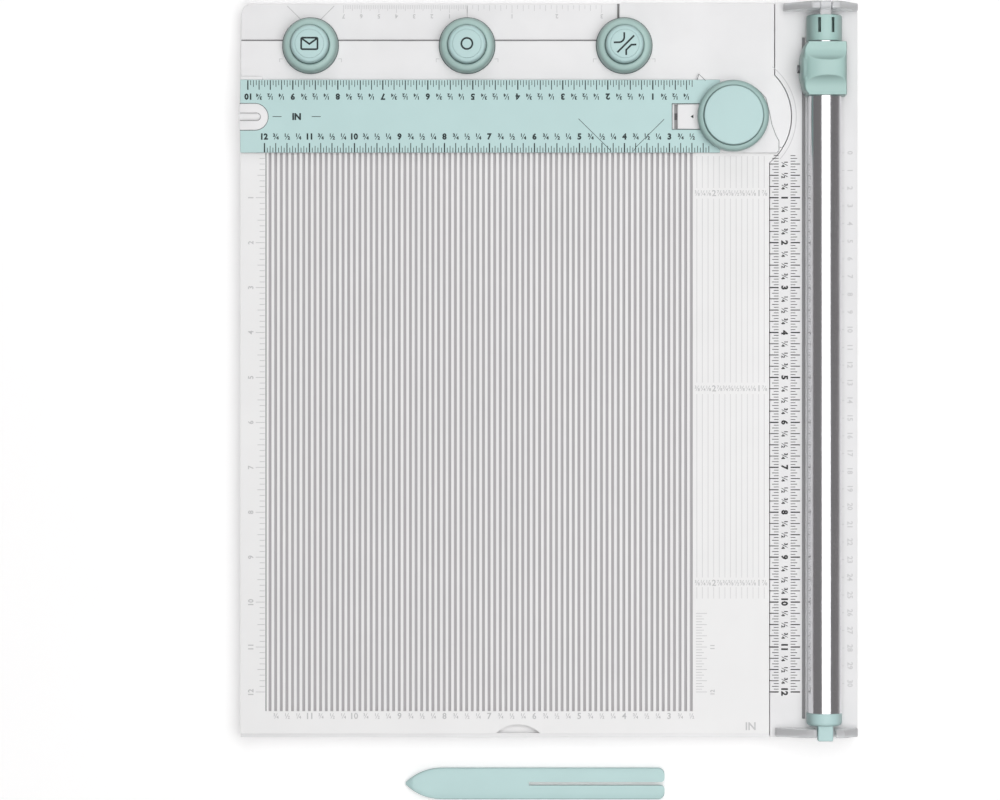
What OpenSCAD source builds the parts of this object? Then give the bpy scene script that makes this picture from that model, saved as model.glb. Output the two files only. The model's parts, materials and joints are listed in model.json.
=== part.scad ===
// Scoring board with a swivelling ruler arm, three edge punches, a rotary trimmer and a scoring tool.
// Millimetres. +Z is up, +Y is the rear edge. The origin is on the floor, below the centre of the board.

/* [Board] */
// Width of the board with its trimmer
board_w = 348.8; // [346:0.2:352]
// Depth of the board from front edge to rear edge
board_d = 415.2; // [414.8:0.2:416]
// Height of the working surface
deck_z = 14; // [13.8:0.1:14.2]
// Height of the rubber feet
foot_h = 2; // [1.8:0.1:2.2]

/* [Scoring panel] */
// Distance between scoring grooves
groove_pitch = 3.175; // [3.1:0.005:3.2]
// Number of wide scoring grooves
groove_count = 76; // [60:1:76]
// Width of a scoring groove
groove_w = 1.6; // [1.2:0.1:1.8]
// Depth of a scoring groove
groove_depth = 1.2; // [0.8:0.1:1.6]

/* [Ruler arm] */
// Width of the ruler arm
arm_w = 41.2; // [40:0.2:42]
// Radius of the swivel knob
knob_r = 20.1; // [19:0.1:20.4]
// Gap between the arm and the surface below it
arm_gap = 0.3; // [0.3:0.05:0.4]

/* [Punches] */
// Radius of a punch collar
collar_r = 15.7; // [15:0.1:16.2]
// Radius of a punch button
button_r = 10.75; // [10.4:0.05:11]
// Travel of a punch button
punch_travel = 4.5; // [3.5:0.1:4.5]

/* [Trimmer] */
// Radius of the trimmer rail
rail_r = 9.2; // [9:0.05:9.3]
// Radius of the rotary blade
blade_r = 9; // [8.8:0.1:9.2]
// Length of the carriage along the rail
carriage_l = 30; // [28:0.5:31]

/* [Scoring tool] */
// Length of the scoring tool
tool_l = 147.4; // [140:0.2:150]
// Width of the scoring tool
tool_w = 18; // [16:0.2:19]
// Thickness of the scoring tool
tool_t = 4; // [3:0.1:5]

/* [Hidden] */
$fn = 48;
eps = 0.01;

// edges of the board
x_left = -board_w / 2;
x_right = board_w / 2;
y_front = -board_d / 2;
y_rear = board_d / 2;
seam_x = 124.7;       // seam between panel and trimmer
rear_seam_x = 127.6;  // the same seam behind the swivel
seam_gap = 0.2;       // half of the gap at every seam
corner_r = 6.8;
wall = 2.4;

// swivel of the arm
pivot = [103.8, 143.3];
lobe_r = 33.4;
post_r = 6;
arm_z = deck_z + arm_gap;
ply = 1.2;            // thickness of each of the arm's two layers
arm_top = arm_z + 2 * ply;
washer_z = arm_top + 0.3;

// panel, deck and paper table
panel_t = 3.2;
panel_z = deck_z - panel_t;
rim_y = y_front + 2.1;
panel_rear = 125.5;
zero_y = pivot[1] - arm_w / 2 - 0.05;     // the fence, where every scale starts
field_front = -192.9;
first_groove = 80.4;
last_line_x = -160;
fine_count = 13;
fine_rows = [[102.8, 120.9], [-7.2, 96.9], [-117.4, -13.6], [-129.3, -122.8]];
step_y = 186;
step_x = 39.75;
table_z = deck_z - 3.6;
table_t = 2;
slot_top = deck_z - 2;
slot_front = 166;
slot_right = 60;
notch_c = -17.5;
notch_w = 25;
notch_d = 5.2;

// punches
punch_x = [-134.8, -46.3, 42.5];
punch_y = 183.3;
punch_hole_r = 6;
collar_h = 6.8;
lip_t = 1.1;
flange_r = 12.1;
flange_z = deck_z + 4.6;
button_top = 26;
die_size = [20, 15, 3];
spring_r = 8;
spring_wire = 0.5;
spring_turns = 4;

// trimmer
cut_x = 143.9;
cut_w = 1.7;
cut_rear = 187.9;
cut_front = -197.2;
strip_top = deck_z - 1.2;
rail_x = 155.1;
rail_z = 18.8;
rail_floor = 16.6;
rail_wall = 1.3;
rail_rear = 184.9;
rail_front = -193.3;
cap_r = 10;
rear_cap_y = 199.8;
front_cap_y = -200.4;
hinge_y = 204.7;
hinge_z = 27.8;
pin_r = 1.3;
running = 0.05;
bracket_y = [202.6, 206.8];
front_bracket_y = [-206.9, -202.2];
cap_screw_y = [-188, 180];

// carriage
carriage_y = rail_rear - 0.7 - carriage_l / 2;
shell_x = [144.4, 167.3];
shell_top = 34.5;
runner_r = 10.2;
blade_z = deck_z - 0.8 + blade_r;
blade_t = 0.3;
guard_x = [140.9, 143.3];
guard_r = 12.5;
axle_r = 1.5;

// scoring tool
tool_x = -81.6;
tool_y = -235.1;
tool_slot = 1.6;

// a box given by its two corners
module span(a, b) {
    translate(a) cube(b - a);
}

// a cylinder from one height to another
module post(x, y, r, z0, z1) {
    translate([x, y, z0]) cylinder(r = r, h = z1 - z0);
}

// a cylinder along X
module bar_x(x0, x1, y, z, r) {
    translate([x0, y, z]) rotate([0, 90, 0]) cylinder(r = r, h = x1 - x0);
}

// a cylinder along Y
module bar_y(y0, y1, x, z, r) {
    translate([x, y1, z]) rotate([90, 0, 0]) cylinder(r = r, h = y1 - y0);
}

// a rectangle in plan with the rear-left corner rounded
module corner_plan(x0, y0, x1, y1, r) {
    difference() {
        translate([x0, y0]) square([x1 - x0, y1 - y0]);
        difference() {
            translate([x0 - 1, y1 - r]) square([r + 1, r + 1]);
            translate([x0 + r, y1 - r]) circle(r = r);
        }
    }
}

// plan of the board left of the trimmer, with the round lobe about the swivel
module board_plan(inset = 0) {
    corner_plan(x_left + inset, y_front + inset, seam_x - seam_gap - inset, y_rear - inset, corner_r);
    translate([100, pivot[1]])
        square([rear_seam_x - seam_gap - inset - 100, y_rear - inset - pivot[1]]);
    translate(pivot) circle(r = lobe_r - seam_gap - inset);
}

// plan of the trimmer
module trimmer_plan(inset = 0) {
    difference() {
        mirror([1, 0])
            corner_plan(-x_right + inset, y_front + inset, -seam_x - seam_gap - inset, y_rear - inset, 4);
        translate([100, pivot[1]])
            square([rear_seam_x + seam_gap + inset - 100, board_d]);
        translate(pivot) circle(r = lobe_r + seam_gap + inset);
    }
}

// the stretch of a plan between two Y values
module band(y0, y1) {
    intersection() {
        children();
        translate([x_left - 1, y0]) square([board_w + 2, y1 - y0]);
    }
}

// ---- board ----

deck_screw_at = [[-150, 145], [-60, 145], [30, 145], [112, 195]];

module base_tray() {
    color("whitesmoke") difference() {
        union() {
            translate([0, 0, foot_h]) linear_extrude(panel_z - foot_h) difference() {
                board_plan();
                board_plan(wall);
            }
            translate([0, 0, foot_h]) linear_extrude(2) board_plan();
            translate([0, 0, foot_h]) linear_extrude(deck_z - foot_h)
                band(y_front, rim_y) board_plan();
            for (x = [-120, -60, 60])
                span([x - 0.8, y_front + 1, foot_h + 1], [x + 0.8, slot_front - 1.6, panel_z]);
            for (y = [-130, -40, 50, 122])
                span([x_left + 1, y - 0.8, foot_h + 1], [seam_x - 1.4, y + 0.8, panel_z]);
            span([x_left + 1, slot_front - 3.2, foot_h + 1], [pivot[0] - 8, slot_front - 0.5, panel_z]);
            for (x = punch_x)
                span([x - 11, punch_y - 9, foot_h + 1], [x + 11, punch_y + 9, table_z - die_size[2]]);
            for (p = deck_screw_at) post(p[0], p[1], 4, foot_h + 1, panel_z);
            post(pivot[0], pivot[1], 12, foot_h + 1, panel_z);
        }
        span([x_left - 1, slot_front - 0.5, table_z - table_t], [slot_right, y_rear + 1, deck_z]);
        for (x = punch_x) post(x, punch_y, punch_hole_r, foot_h - 1, deck_z);
        for (p = deck_screw_at) {
            post(p[0], p[1], 1.6, foot_h - 1, deck_z);
            post(p[0], p[1], 3.2, foot_h - 1, foot_h + 1.6);
        }
        post(pivot[0], pivot[1], post_r, foot_h + 2, deck_z);
        post(pivot[0], pivot[1], 2.1, foot_h - 1, deck_z);
    }
}

module deck_plan() {
    difference() {
        band(panel_rear + seam_gap, y_rear) board_plan();
        translate([x_left - 1, step_y]) square([step_x - x_left + 1, board_d]);
    }
}

module rear_deck() {
    color("whitesmoke") difference() {
        union() {
            translate([0, 0, slot_top]) linear_extrude(deck_z - slot_top) deck_plan();
            translate([0, 0, panel_z]) linear_extrude(deck_z - panel_z)
                band(panel_rear + seam_gap, slot_front - 0.5) deck_plan();
            translate([0, 0, panel_z]) linear_extrude(deck_z - panel_z) intersection() {
                deck_plan();
                translate([slot_right, slot_front - 1]) square([board_w, board_d]);
            }
            for (x = punch_x) post(x, punch_y, collar_r - 0.2, slot_top, deck_z);
        }
        for (x = punch_x) post(x, punch_y, punch_hole_r, 0, deck_z + 1);
        for (p = deck_screw_at) post(p[0], p[1], 1.5, 0, deck_z - 1);
        post(pivot[0], pivot[1], post_r, 0, deck_z + 1);
    }
}

module paper_table() {
    color("whitesmoke") difference() {
        translate([0, 0, table_z - table_t]) linear_extrude(table_t)
            corner_plan(x_left, slot_front, slot_right, y_rear, corner_r);
        for (x = punch_x)
            span([x - die_size[0] / 2, punch_y - die_size[1] / 2, 0],
                 [x + die_size[0] / 2, punch_y + die_size[1] / 2, deck_z]);
    }
}

// the grooved field in section: a comb of slots open at the top
function comb_steps(n) = [
    for (i = [0:n - 1], k = [0:3])
        let (x = first_groove - (n - 1 - i) * groove_pitch)
        [x + (k < 2 ? -1 : 1) * groove_w / 2, k == 0 || k == 3 ? deck_z : deck_z - groove_depth]
];

module groove_section() {
    polygon(concat(
        [[x_left, panel_z], [x_left, deck_z]],
        comb_steps(groove_count),
        [[seam_x - seam_gap, deck_z], [seam_x - seam_gap, panel_z]]
    ));
}

module finger_notch() {
    r = (pow(notch_w / 2, 2) + pow(notch_d, 2)) / (2 * notch_d);
    intersection() {
        post(notch_c, rim_y + notch_d - r, r, 0, deck_z + 1);
        span([notch_c - notch_w, rim_y - 1, 0], [notch_c + notch_w, rim_y + notch_d * 2, deck_z + 1]);
    }
}

module scoring_panel() {
    color("white") difference() {
        union() {
            translate([0, panel_rear, 0]) rotate([90, 0, 0])
                linear_extrude(panel_rear - field_front) groove_section();
            span([x_left, rim_y + 0.2, panel_z], [seam_x - seam_gap, field_front, deck_z]);
            translate([0, 0, panel_z]) linear_extrude(panel_t)
                band(100, panel_rear) intersection() {
                    board_plan();
                    translate([seam_x - 1, 0]) square(200);
                }
        }
        finger_notch();
        for (i = [1:fine_count], row = fine_rows)
            translate([first_groove + i * groove_pitch - 0.2, row[0], deck_z - 0.3])
                cube([0.4, row[1] - row[0], 1]);
        span([last_line_x - 0.25, field_front, deck_z - 0.4],
             [last_line_x + 0.25, panel_rear + 1, deck_z + 1]);
    }
}

feet_at = [
    [-164, -197], [114, -197], [-164, 150], [-164, 197], [90, 197], [164, -196], [164, 196], [-20, -150]
];

module rubber_feet() {
    color("dimgray") {
        for (p = feet_at) post(p[0], p[1], 5.5, 0, foot_h);
        post(0, 0, 9, 0, foot_h);
    }
}

// a pan-head screw driven upwards from the underside
module up_screw(x, y, z0, z1, r = 1.45, head = 3) {
    post(x, y, head, z0, z0 + 1.5);
    post(x, y, r, z0 + 1.5 - eps, z1);
}

module case_screws() {
    color("silver") for (p = deck_screw_at) up_screw(p[0], p[1], foot_h + 0.1, deck_z - 1.5);
}

// ---- swivel ----

module pivot_post() {
    color("silver") difference() {
        post(pivot[0], pivot[1], post_r, foot_h + 2, washer_z);
        post(pivot[0], pivot[1], 2, 0, deck_z * 2);
    }
}

module pivot_washer() {
    color("silver") difference() {
        post(pivot[0], pivot[1], 9, washer_z, washer_z + 1);
        post(pivot[0], pivot[1], 2, 0, washer_z * 2);
    }
}

module pivot_screw() {
    color("silver") difference() {
        union() {
            post(pivot[0], pivot[1], 4.5, washer_z + 1, washer_z + 3.4);
            post(pivot[0], pivot[1], 1.95, foot_h + 4, washer_z + 1.1);
        }
        span([pivot[0] - 3, pivot[1] - 0.5, washer_z + 2.4], [pivot[0] + 3, pivot[1] + 0.5, washer_z + 4]);
    }
}

// ---- punches ----

module punch_collar(i) {
    x = punch_x[i];
    r_in = button_r + running;
    shoulder = flange_r + 0.3;
    color("paleturquoise") translate([x, punch_y, deck_z]) rotate_extrude($fn = 96) difference() {
        union() {
            square([collar_r, collar_h - 3.4]);
            square([collar_r - 3.4, collar_h]);
            translate([collar_r - 3.4, collar_h - 3.4]) circle(r = 3.4);
        }
        translate([-1, -1]) square([r_in + 1, collar_h + 2]);
        translate([-1, -1]) square([shoulder + 1, collar_h - lip_t + 1]);
    }
}

// outline of the hole that each punch makes: notch, round hole, rounded corner
module punch_shape(i, grow = 0) {
    if (i == 0) translate([-3.5 - grow, -2.5 - grow]) square([7 + 2 * grow, 5 + 2 * grow]);
    if (i == 1) circle(r = 3.5 + grow);
    if (i == 2) intersection() {
        translate([-3.5 - grow, -3.5 - grow]) square(7 + 2 * grow);
        translate([-3.5, -3.5]) circle(r = 7 + grow);
    }
}

module punch_die(i) {
    color("silver") translate([punch_x[i], punch_y, table_z - die_size[2]])
        linear_extrude(die_size[2]) difference() {
            translate([-die_size[0] / 2 + 0.1, -die_size[1] / 2 + 0.1])
                square([die_size[0] - 0.2, die_size[1] - 0.2]);
            punch_shape(i, running);
        }
}

module punch_button(i) {
    inner_r = button_r - 1.3;
    cavity_z = button_top - deck_z - 2;
    color("paleturquoise") translate([punch_x[i], punch_y, deck_z]) rotate_extrude($fn = 96) {
        difference() {
            union() {
                translate([0, flange_z - deck_z]) square([button_r, button_top - flange_z - 2.2]);
                translate([0, flange_z - deck_z]) square([button_r - 2.2, button_top - flange_z]);
                translate([button_r - 2.2, button_top - deck_z - 2.2]) circle(r = 2.2);
                translate([0, flange_z - deck_z]) square([flange_r, 1]);
            }
            translate([-1, 0]) square([inner_r + 1, cavity_z]);
            translate([-12, -5]) square([12, 40]);
        }
    }
}

module punch_blade(i) {
    color("silver") translate([punch_x[i], punch_y, slot_top + 0.2])
        linear_extrude(button_top - 2 - slot_top - 0.2) punch_shape(i);
}

// a coil spring as one swept polyhedron, with flat ends
module punch_spring(i) {
    sides = 6;
    rings = spring_turns * 10;
    z0 = deck_z + spring_wire;
    z1 = button_top - 2 - spring_wire;
    pts = [for (k = [0:rings], s = [0:sides - 1])
        let (a = 360 * spring_turns * k / rings, b = 360 * s / sides, r = spring_r + spring_wire * cos(b))
        [r * cos(a), r * sin(a), z0 + (z1 - z0) * k / rings + spring_wire * sin(b)]];
    skin = [for (k = [0:rings - 1], s = [0:sides - 1])
        let (n = (s + 1) % sides, a = k * sides, b = a + sides)
        [a + s, b + s, b + n, a + n]];
    first = [for (s = [0:sides - 1]) s];
    last = [for (s = [sides - 1:-1:0]) rings * sides + s];
    color("silver") translate([punch_x[i], punch_y, 0])
        polyhedron(points = pts, faces = concat(skin, [first, last]), convexity = 8);
}

// ---- ruler arm ----

tab_x = [-175, -158.6];
tab_y = [135.3, 150.4];
window = [69.4, 135.7, 88, 150.4];
slider = [72.6, 136, 87.2, 150.1];
pocket_x = 70.7;
pocket_floor = 0.6;
plate_end = 96.5;
lip_y = zero_y + arm_w;
lip_l = 12.5;

tail_points = [
    [78, zero_y], [129.2, zero_y], [130.05, 123.6], [130.05, 129.4], [128.4, 132.3], [126.1, 138.5],
    [122.7, 153.7], [117, 159.5], [104, 163.2], [88.8, 163.4], [84.5, 167.4], [83.3, 163.4], [78, 163.4]
];

module arm_plan(x1) {
    translate([x_left, zero_y]) square([x1 - x_left, arm_w]);
}

module arm_carrier() {
    color("whitesmoke") difference() {
        union() {
            translate([0, 0, arm_z]) linear_extrude(ply) {
                arm_plan(pivot[0]);
                polygon(tail_points);
            }
            translate([0, 0, arm_z]) linear_extrude(2 * ply) difference() {
                polygon(tail_points);
                arm_plan(plate_end);
            }
            span([x_left, lip_y - 1, arm_z], [x_left + lip_l, lip_y + 1, arm_z + ply]);
            span([x_left, lip_y, arm_z], [x_left + lip_l, lip_y + 1.8, arm_top]);
        }
        post(pivot[0], pivot[1], post_r + running, 0, arm_top + 1);
        span([pocket_x, window[1], arm_z + pocket_floor], [window[2], window[3], arm_top]);
    }
}

module ruler_plate() {
    color("paleturquoise") difference() {
        translate([0, 0, arm_z + ply]) linear_extrude(ply) difference() {
            arm_plan(plate_end);
            translate(pivot) circle(r = 14);
            translate([window[0], window[1]]) square([window[2] - window[0], window[3] - window[1]]);
            translate([x_left - 1, tab_y[0]]) square([tab_x[1] - x_left + 1 - 7.5, tab_y[1] - tab_y[0]]);
            translate([tab_x[1] - 7.5, (tab_y[0] + tab_y[1]) / 2]) circle(d = tab_y[1] - tab_y[0]);
        }
        for (x = rivet_x) post(x, pivot[1], 1.5, 0, deck_z * 2);
    }
}

rivet_x = [-120, -20, 55];

module arm_rivets() {
    color("whitesmoke") for (x = rivet_x) post(x, pivot[1], 1.5, arm_z + ply, arm_top);
}

module finger_tab() {
    mid = (tab_y[0] + tab_y[1]) / 2;
    color("white") {
        translate([0, 0, arm_z + ply]) linear_extrude(ply + 0.5) {
            translate([tab_x[0], tab_y[0] + 0.1])
                square([tab_x[1] - 7.5 - tab_x[0], tab_y[1] - tab_y[0] - 0.2]);
            translate([tab_x[1] - 7.5, mid]) circle(d = tab_y[1] - tab_y[0] - 0.2);
        }
        translate([0, 0, arm_top]) linear_extrude(1.7) {
            translate([tab_x[0] + 2.4, mid - 1.5]) square([7.4, 3]);
            translate([tab_x[0] + 2.4, mid]) circle(r = 1.5);
            translate([tab_x[0] + 9.8, mid]) circle(r = 1.5);
        }
    }
}

module knob_ring() {
    inner = knob_r - 3.3;
    color("paleturquoise") translate([pivot[0], pivot[1], arm_top]) rotate_extrude($fn = 120) {
        difference() {
            union() {
                square([knob_r, 4.8]);
                square([knob_r - 1.6, 6.4]);
                translate([knob_r - 1.6, 4.8]) circle(r = 1.6);
            }
            translate([-1, -1]) square([14, 10]);
            translate([-1, 4]) square([inner + 1, 10]);
            translate([-1, -5]) square([60, 5]);
        }
    }
}

module knob_cap() {
    inner = knob_r - 3.4;
    color("paleturquoise") translate([pivot[0], pivot[1], arm_top + 4]) rotate_extrude($fn = 120) {
        square([inner, 3.7]);
        square([inner - 1, 4.7]);
        translate([inner - 1, 3.7]) intersection() {
            circle(r = 1);
            square(2);
        }
    }
}

module lock_slider() {
    color("white")
        span([slider[0], slider[1], arm_z + pocket_floor + 0.3], [slider[2], slider[3], arm_top - 0.4]);
}

// ---- trimmer bed ----

bed_screw_at = [[166, -180], [166, -60], [166, 60], [166, 180], [131, -180], [131, -60], [131, 60]];

module trimmer_base() {
    color("whitesmoke") difference() {
        union() {
            translate([0, 0, foot_h]) linear_extrude(deck_z - foot_h) difference() {
                trimmer_plan();
                trimmer_plan(2);
            }
            translate([0, 0, deck_z - 2]) linear_extrude(2) trimmer_plan();
            span([cut_x - 3.4, y_front + 1, deck_z - 5], [cut_x + 3.4, y_rear - 1, deck_z - 1]);
            for (p = bed_screw_at) post(p[0], p[1], 3.4, foot_h + 1.8, deck_z - 1);
        }
        span([cut_x - cut_w / 2, cut_front, 0], [cut_x + cut_w / 2, cut_rear, deck_z + 1]);
        span([cut_x - 1.6, cut_front - 2, 0], [cut_x + 1.6, cut_rear + 2, strip_top]);
        for (p = bed_screw_at) post(p[0], p[1], 1.5, 0, deck_z - 1.5);
    }
}

module trimmer_floor() {
    color("whitesmoke") difference() {
        translate([0, 0, foot_h]) linear_extrude(1.8) trimmer_plan(2.1);
        for (p = bed_screw_at) {
            post(p[0], p[1], 1.6, 0, deck_z);
            post(p[0], p[1], 3.2, 0, foot_h + 1.2);
        }
    }
}

module trimmer_screws() {
    color("silver") for (p = bed_screw_at) {
        post(p[0], p[1], 3, foot_h + 0.1, foot_h + 1.2);
        post(p[0], p[1], 1.45, foot_h + 1.1, deck_z - 3);
    }
}

module cutting_strip() {
    color("dimgray")
        span([cut_x - 1.5, cut_front - 1.8, strip_top - 2], [cut_x + 1.5, cut_rear + 1.8, strip_top]);
}

// a clear upright in elevation: low sides that rise to a hub
module bracket_face(x0, x1, hub0, hub1, low, high) {
    polygon([[x0, deck_z], [x1, deck_z], [x1, low], [hub1, high], [hub0, high], [x0, low]]);
}

module upright(y) {
    translate([0, y[1], 0]) rotate([90, 0, 0]) linear_extrude(y[1] - y[0]) children();
}

tongue_x = [152.1, 158.1];

module rear_bracket() {
    color("aliceblue") difference() {
        upright(bracket_y) bracket_face(132.3, 174.2, 147, 163.2, 18, 31.5);
        span([tongue_x[0] - 0.35, bracket_y[0] - 1, deck_z + 7.5],
             [tongue_x[1] + 0.35, bracket_y[1] + 1, 40]);
        bar_x(148, 162.2, hinge_y, hinge_z, pin_r);
    }
}

module front_bracket_left() {
    color("aliceblue") upright(front_bracket_y) bracket_face(127.8, 150.2, 144, 150.2, 18, 27);
}

module front_bracket_right() {
    color("aliceblue") upright(front_bracket_y) bracket_face(161, 174.2, 161, 166, 18, 27);
}

module hinge_pin() {
    color("silver") bar_x(148, 162.2, hinge_y, hinge_z, pin_r);
}

// ---- rail ----

// the rail's solid section: a round bar with a flat underside
module rail_solid(r, floor_z, y0, y1) {
    intersection() {
        bar_y(y0, y1, rail_x, rail_z, r);
        span([rail_x - 20, y0 - 1, floor_z], [rail_x + 20, y1 + 1, 60]);
    }
}

module rail() {
    color("silver") difference() {
        rail_solid(rail_r, rail_floor, rail_front, rail_rear);
        rail_solid(rail_r - rail_wall, rail_floor + rail_wall, rail_front - 1, rail_rear + 1);
        for (y = cap_screw_y) post(rail_x, y, 1.25, 0, rail_floor + 2);
    }
}

module rail_strip() {
    color("aliceblue") span([144.8, rail_front, 15.2], [149, rail_rear, rail_floor]);
}

// the plug that each cap pushes into the rail
module cap_plug(y0, y1, screw_y) {
    difference() {
        rail_solid(rail_r - rail_wall - 0.05, rail_floor + rail_wall + 0.05, y0, y1);
        post(rail_x, screw_y, 1.2, 0, rail_z + 4);
    }
}

module rear_cap() {
    color("paleturquoise") difference() {
        union() {
            rail_solid(cap_r, rail_floor - 0.8, rail_rear, rear_cap_y);
            cap_plug(rail_rear - 9, rail_rear + 1, cap_screw_y[1]);
            span([tongue_x[0], rear_cap_y - 3, hinge_z - 2.6], [tongue_x[1], hinge_y, hinge_z + 1]);
            bar_x(tongue_x[0], tongue_x[1], hinge_y, hinge_z, 2.6);
        }
        for (x = [151.6, 159.2]) span([x - 0.8, 189.5, 25], [x + 0.8, 197.9, 40]);
        bar_x(tongue_x[0] - 1, tongue_x[1] + 1, hinge_y, hinge_z, pin_r + running);
    }
}

module front_cap() {
    color("paleturquoise") {
        rail_solid(cap_r, rail_floor - 0.8, front_cap_y, rail_front);
        cap_plug(rail_front - 1, rail_front + 9, cap_screw_y[0]);
        span([150.9, -208.9, 20], [159.6, front_cap_y + 2, 26]);
    }
}

module cap_screws() {
    color("silver") for (y = cap_screw_y) {
        post(rail_x, y, 2.4, rail_floor - 1.2, rail_floor);
        post(rail_x, y, 1.15, rail_floor - 0.1, rail_z + 3);
    }
}

// ---- carriage ----

// the saddle's outline across the rail: upright sides, square shoulders and a low crown
saddle_half = (shell_x[1] - shell_x[0]) / 2;
saddle_base = 21;
saddle_outline = concat(
    [[shell_x[0], 15.6]],
    [for (k = [0:36]) let (x = -saddle_half * cos(5 * k), u = min(1, abs(x) / saddle_half))
        [x + (shell_x[0] + shell_x[1]) / 2,
         saddle_base + (shell_top - saddle_base - 2.1 * pow(x / 10, 2)) * pow(1 - pow(u, 9), 0.25)]],
    [[shell_x[1], 15.6]]
);

module carriage_shell() {
    y0 = carriage_y - carriage_l / 2;
    y1 = carriage_y + carriage_l / 2;
    color("paleturquoise") difference() {
        translate([0, y1, 0]) rotate([90, 0, 0]) linear_extrude(y1 - y0) polygon(saddle_outline);
        rail_solid(rail_r + 0.3, rail_floor - 0.3, y0 - 1, y1 + 1);
        intersection() {
            bar_y(y0 - 1, y1 + 1, rail_x, rail_z, runner_r);
            span([140, y0 - 1, 22], [170, y1 + 1, 40]);
        }
        span([140, y0 - 1, 10], [161, y1 + 1, 17.3]);
        for (s = [-1, 1]) bar_x(130, 175, carriage_y + s * 11.9, shell_top + 4.7, 9);
        bar_x(shell_x[0] - 1, 145.4, carriage_y, blade_z, axle_r);
    }
}

module carriage_runner() {
    color("dimgray") intersection() {
        difference() {
            bar_y(carriage_y - 14, carriage_y + 14, rail_x, rail_z, runner_r);
            bar_y(carriage_y - 15, carriage_y + 15, rail_x, rail_z, rail_r + running);
        }
        span([140, 100, 22], [170, 200, 40]);
    }
}

module blade_guard() {
    color("paleturquoise") difference() {
        intersection() {
            bar_x(guard_x[0], shell_x[0], carriage_y, blade_z, guard_r);
            span([130, 100, 15.4], [150, 200, 60]);
        }
        bar_x(guard_x[1], 160, carriage_y, blade_z, blade_r + 1.2);
        span([guard_x[1], 100, 0], [160, 200, blade_z]);
        bar_x(130, 150, carriage_y, blade_z, axle_r);
    }
}

module blade_axle() {
    color("silver") {
        bar_x(guard_x[0] - 1.2, guard_x[0], carriage_y, blade_z, 2.3);
        bar_x(guard_x[0] - eps, 145.4, carriage_y, blade_z, axle_r);
    }
}

module blade_disc() {
    color("gainsboro") difference() {
        bar_x(cut_x - blade_t / 2, cut_x + blade_t / 2, carriage_y, blade_z, blade_r);
        bar_x(130, 150, carriage_y, blade_z, axle_r + running);
    }
}

// ---- scoring tool ----

tip_l = 23.6;
prong_r = 3.5;
slot_x = -11.3;

tip_bluntness = 0.4;
tip_power = 2.6;

// half width of the pointed end, from 0 at the tip to 1 at the full width
function ogive(t) = tip_bluntness + (tool_w / 2 - tip_bluntness) * (1 - pow(1 - t, tip_power));

// a quarter circle of points about a centre, from one angle to the next
function corner(cx, cy, r, from) =
    [for (k = [0:6]) [cx + r * cos(from + 15 * k), cy + r * sin(from + 15 * k)]];

// outline of one half of the tool, from the tip along the side to the slot
function tool_half(s) = concat(
    [for (k = [0:12]) [tool_x + tip_l * k / 12, s * ogive(k / 12)]],
    [for (p = corner(tool_x + tool_l - prong_r, tool_w / 2 - prong_r, prong_r, 0)) [p[0], s * p[1]]]
);

// the points of a list in reverse
function turned(list) = [for (k = [len(list) - 1:-1:0]) list[k]];

module scoring_tool() {
    x1 = tool_x + tool_l;
    half = tool_half(1);
    bow = [for (k = [0:12]) half[k]];
    round_end = turned([for (k = [13:len(half) - 1]) half[k]]);
    inner_end = turned([for (p = corner(x1 - 2, tool_slot / 2 + 2, 2, 270)) p]);
    upper = concat(bow, round_end, inner_end, [[slot_x, tool_slot / 2]]);
    lower = [for (p = turned(upper)) [p[0], -p[1]]];
    color("paleturquoise") translate([0, tool_y, 0]) linear_extrude(tool_t)
        polygon(concat(upper, lower));
}

base_tray();
rear_deck();
paper_table();
scoring_panel();
rubber_feet();
case_screws();
pivot_post();
pivot_washer();
pivot_screw();
punch_collar(0);  // punch_collar_1
punch_collar(1);  // punch_collar_2
punch_collar(2);  // punch_collar_3
punch_die(0);  // punch_die_1
punch_die(1);  // punch_die_2
punch_die(2);  // punch_die_3
punch_spring(0);  // punch_spring_1
punch_spring(1);  // punch_spring_2
punch_spring(2);  // punch_spring_3
punch_button(0);  // punch_button_1
punch_button(1);  // punch_button_2
punch_button(2);  // punch_button_3
punch_blade(0);  // punch_blade_1
punch_blade(1);  // punch_blade_2
punch_blade(2);  // punch_blade_3
arm_carrier();
ruler_plate();
knob_ring();
knob_cap();
finger_tab();
arm_rivets();
lock_slider();
trimmer_base();
trimmer_floor();
trimmer_screws();
cutting_strip();
rear_bracket();
front_bracket_left();
front_bracket_right();
hinge_pin();
rail();
rail_strip();
rear_cap();
front_cap();
cap_screws();
carriage_shell();
carriage_runner();
blade_guard();
blade_axle();
blade_disc();
scoring_tool();
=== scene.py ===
"""Looks of a paper scoring board: grooved panel, swivelling ruler arm, edge punches, rotary trimmer.

Sizes are millimetres until a mesh is made. +X is to the trimmer's side, +Y is to the rear, +Z is up, and the origin
lies on the table under the centre of the board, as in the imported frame.
"""

import json
import logging
import math
from dataclasses import dataclass, field
from enum import Enum
from typing import Sequence

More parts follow.
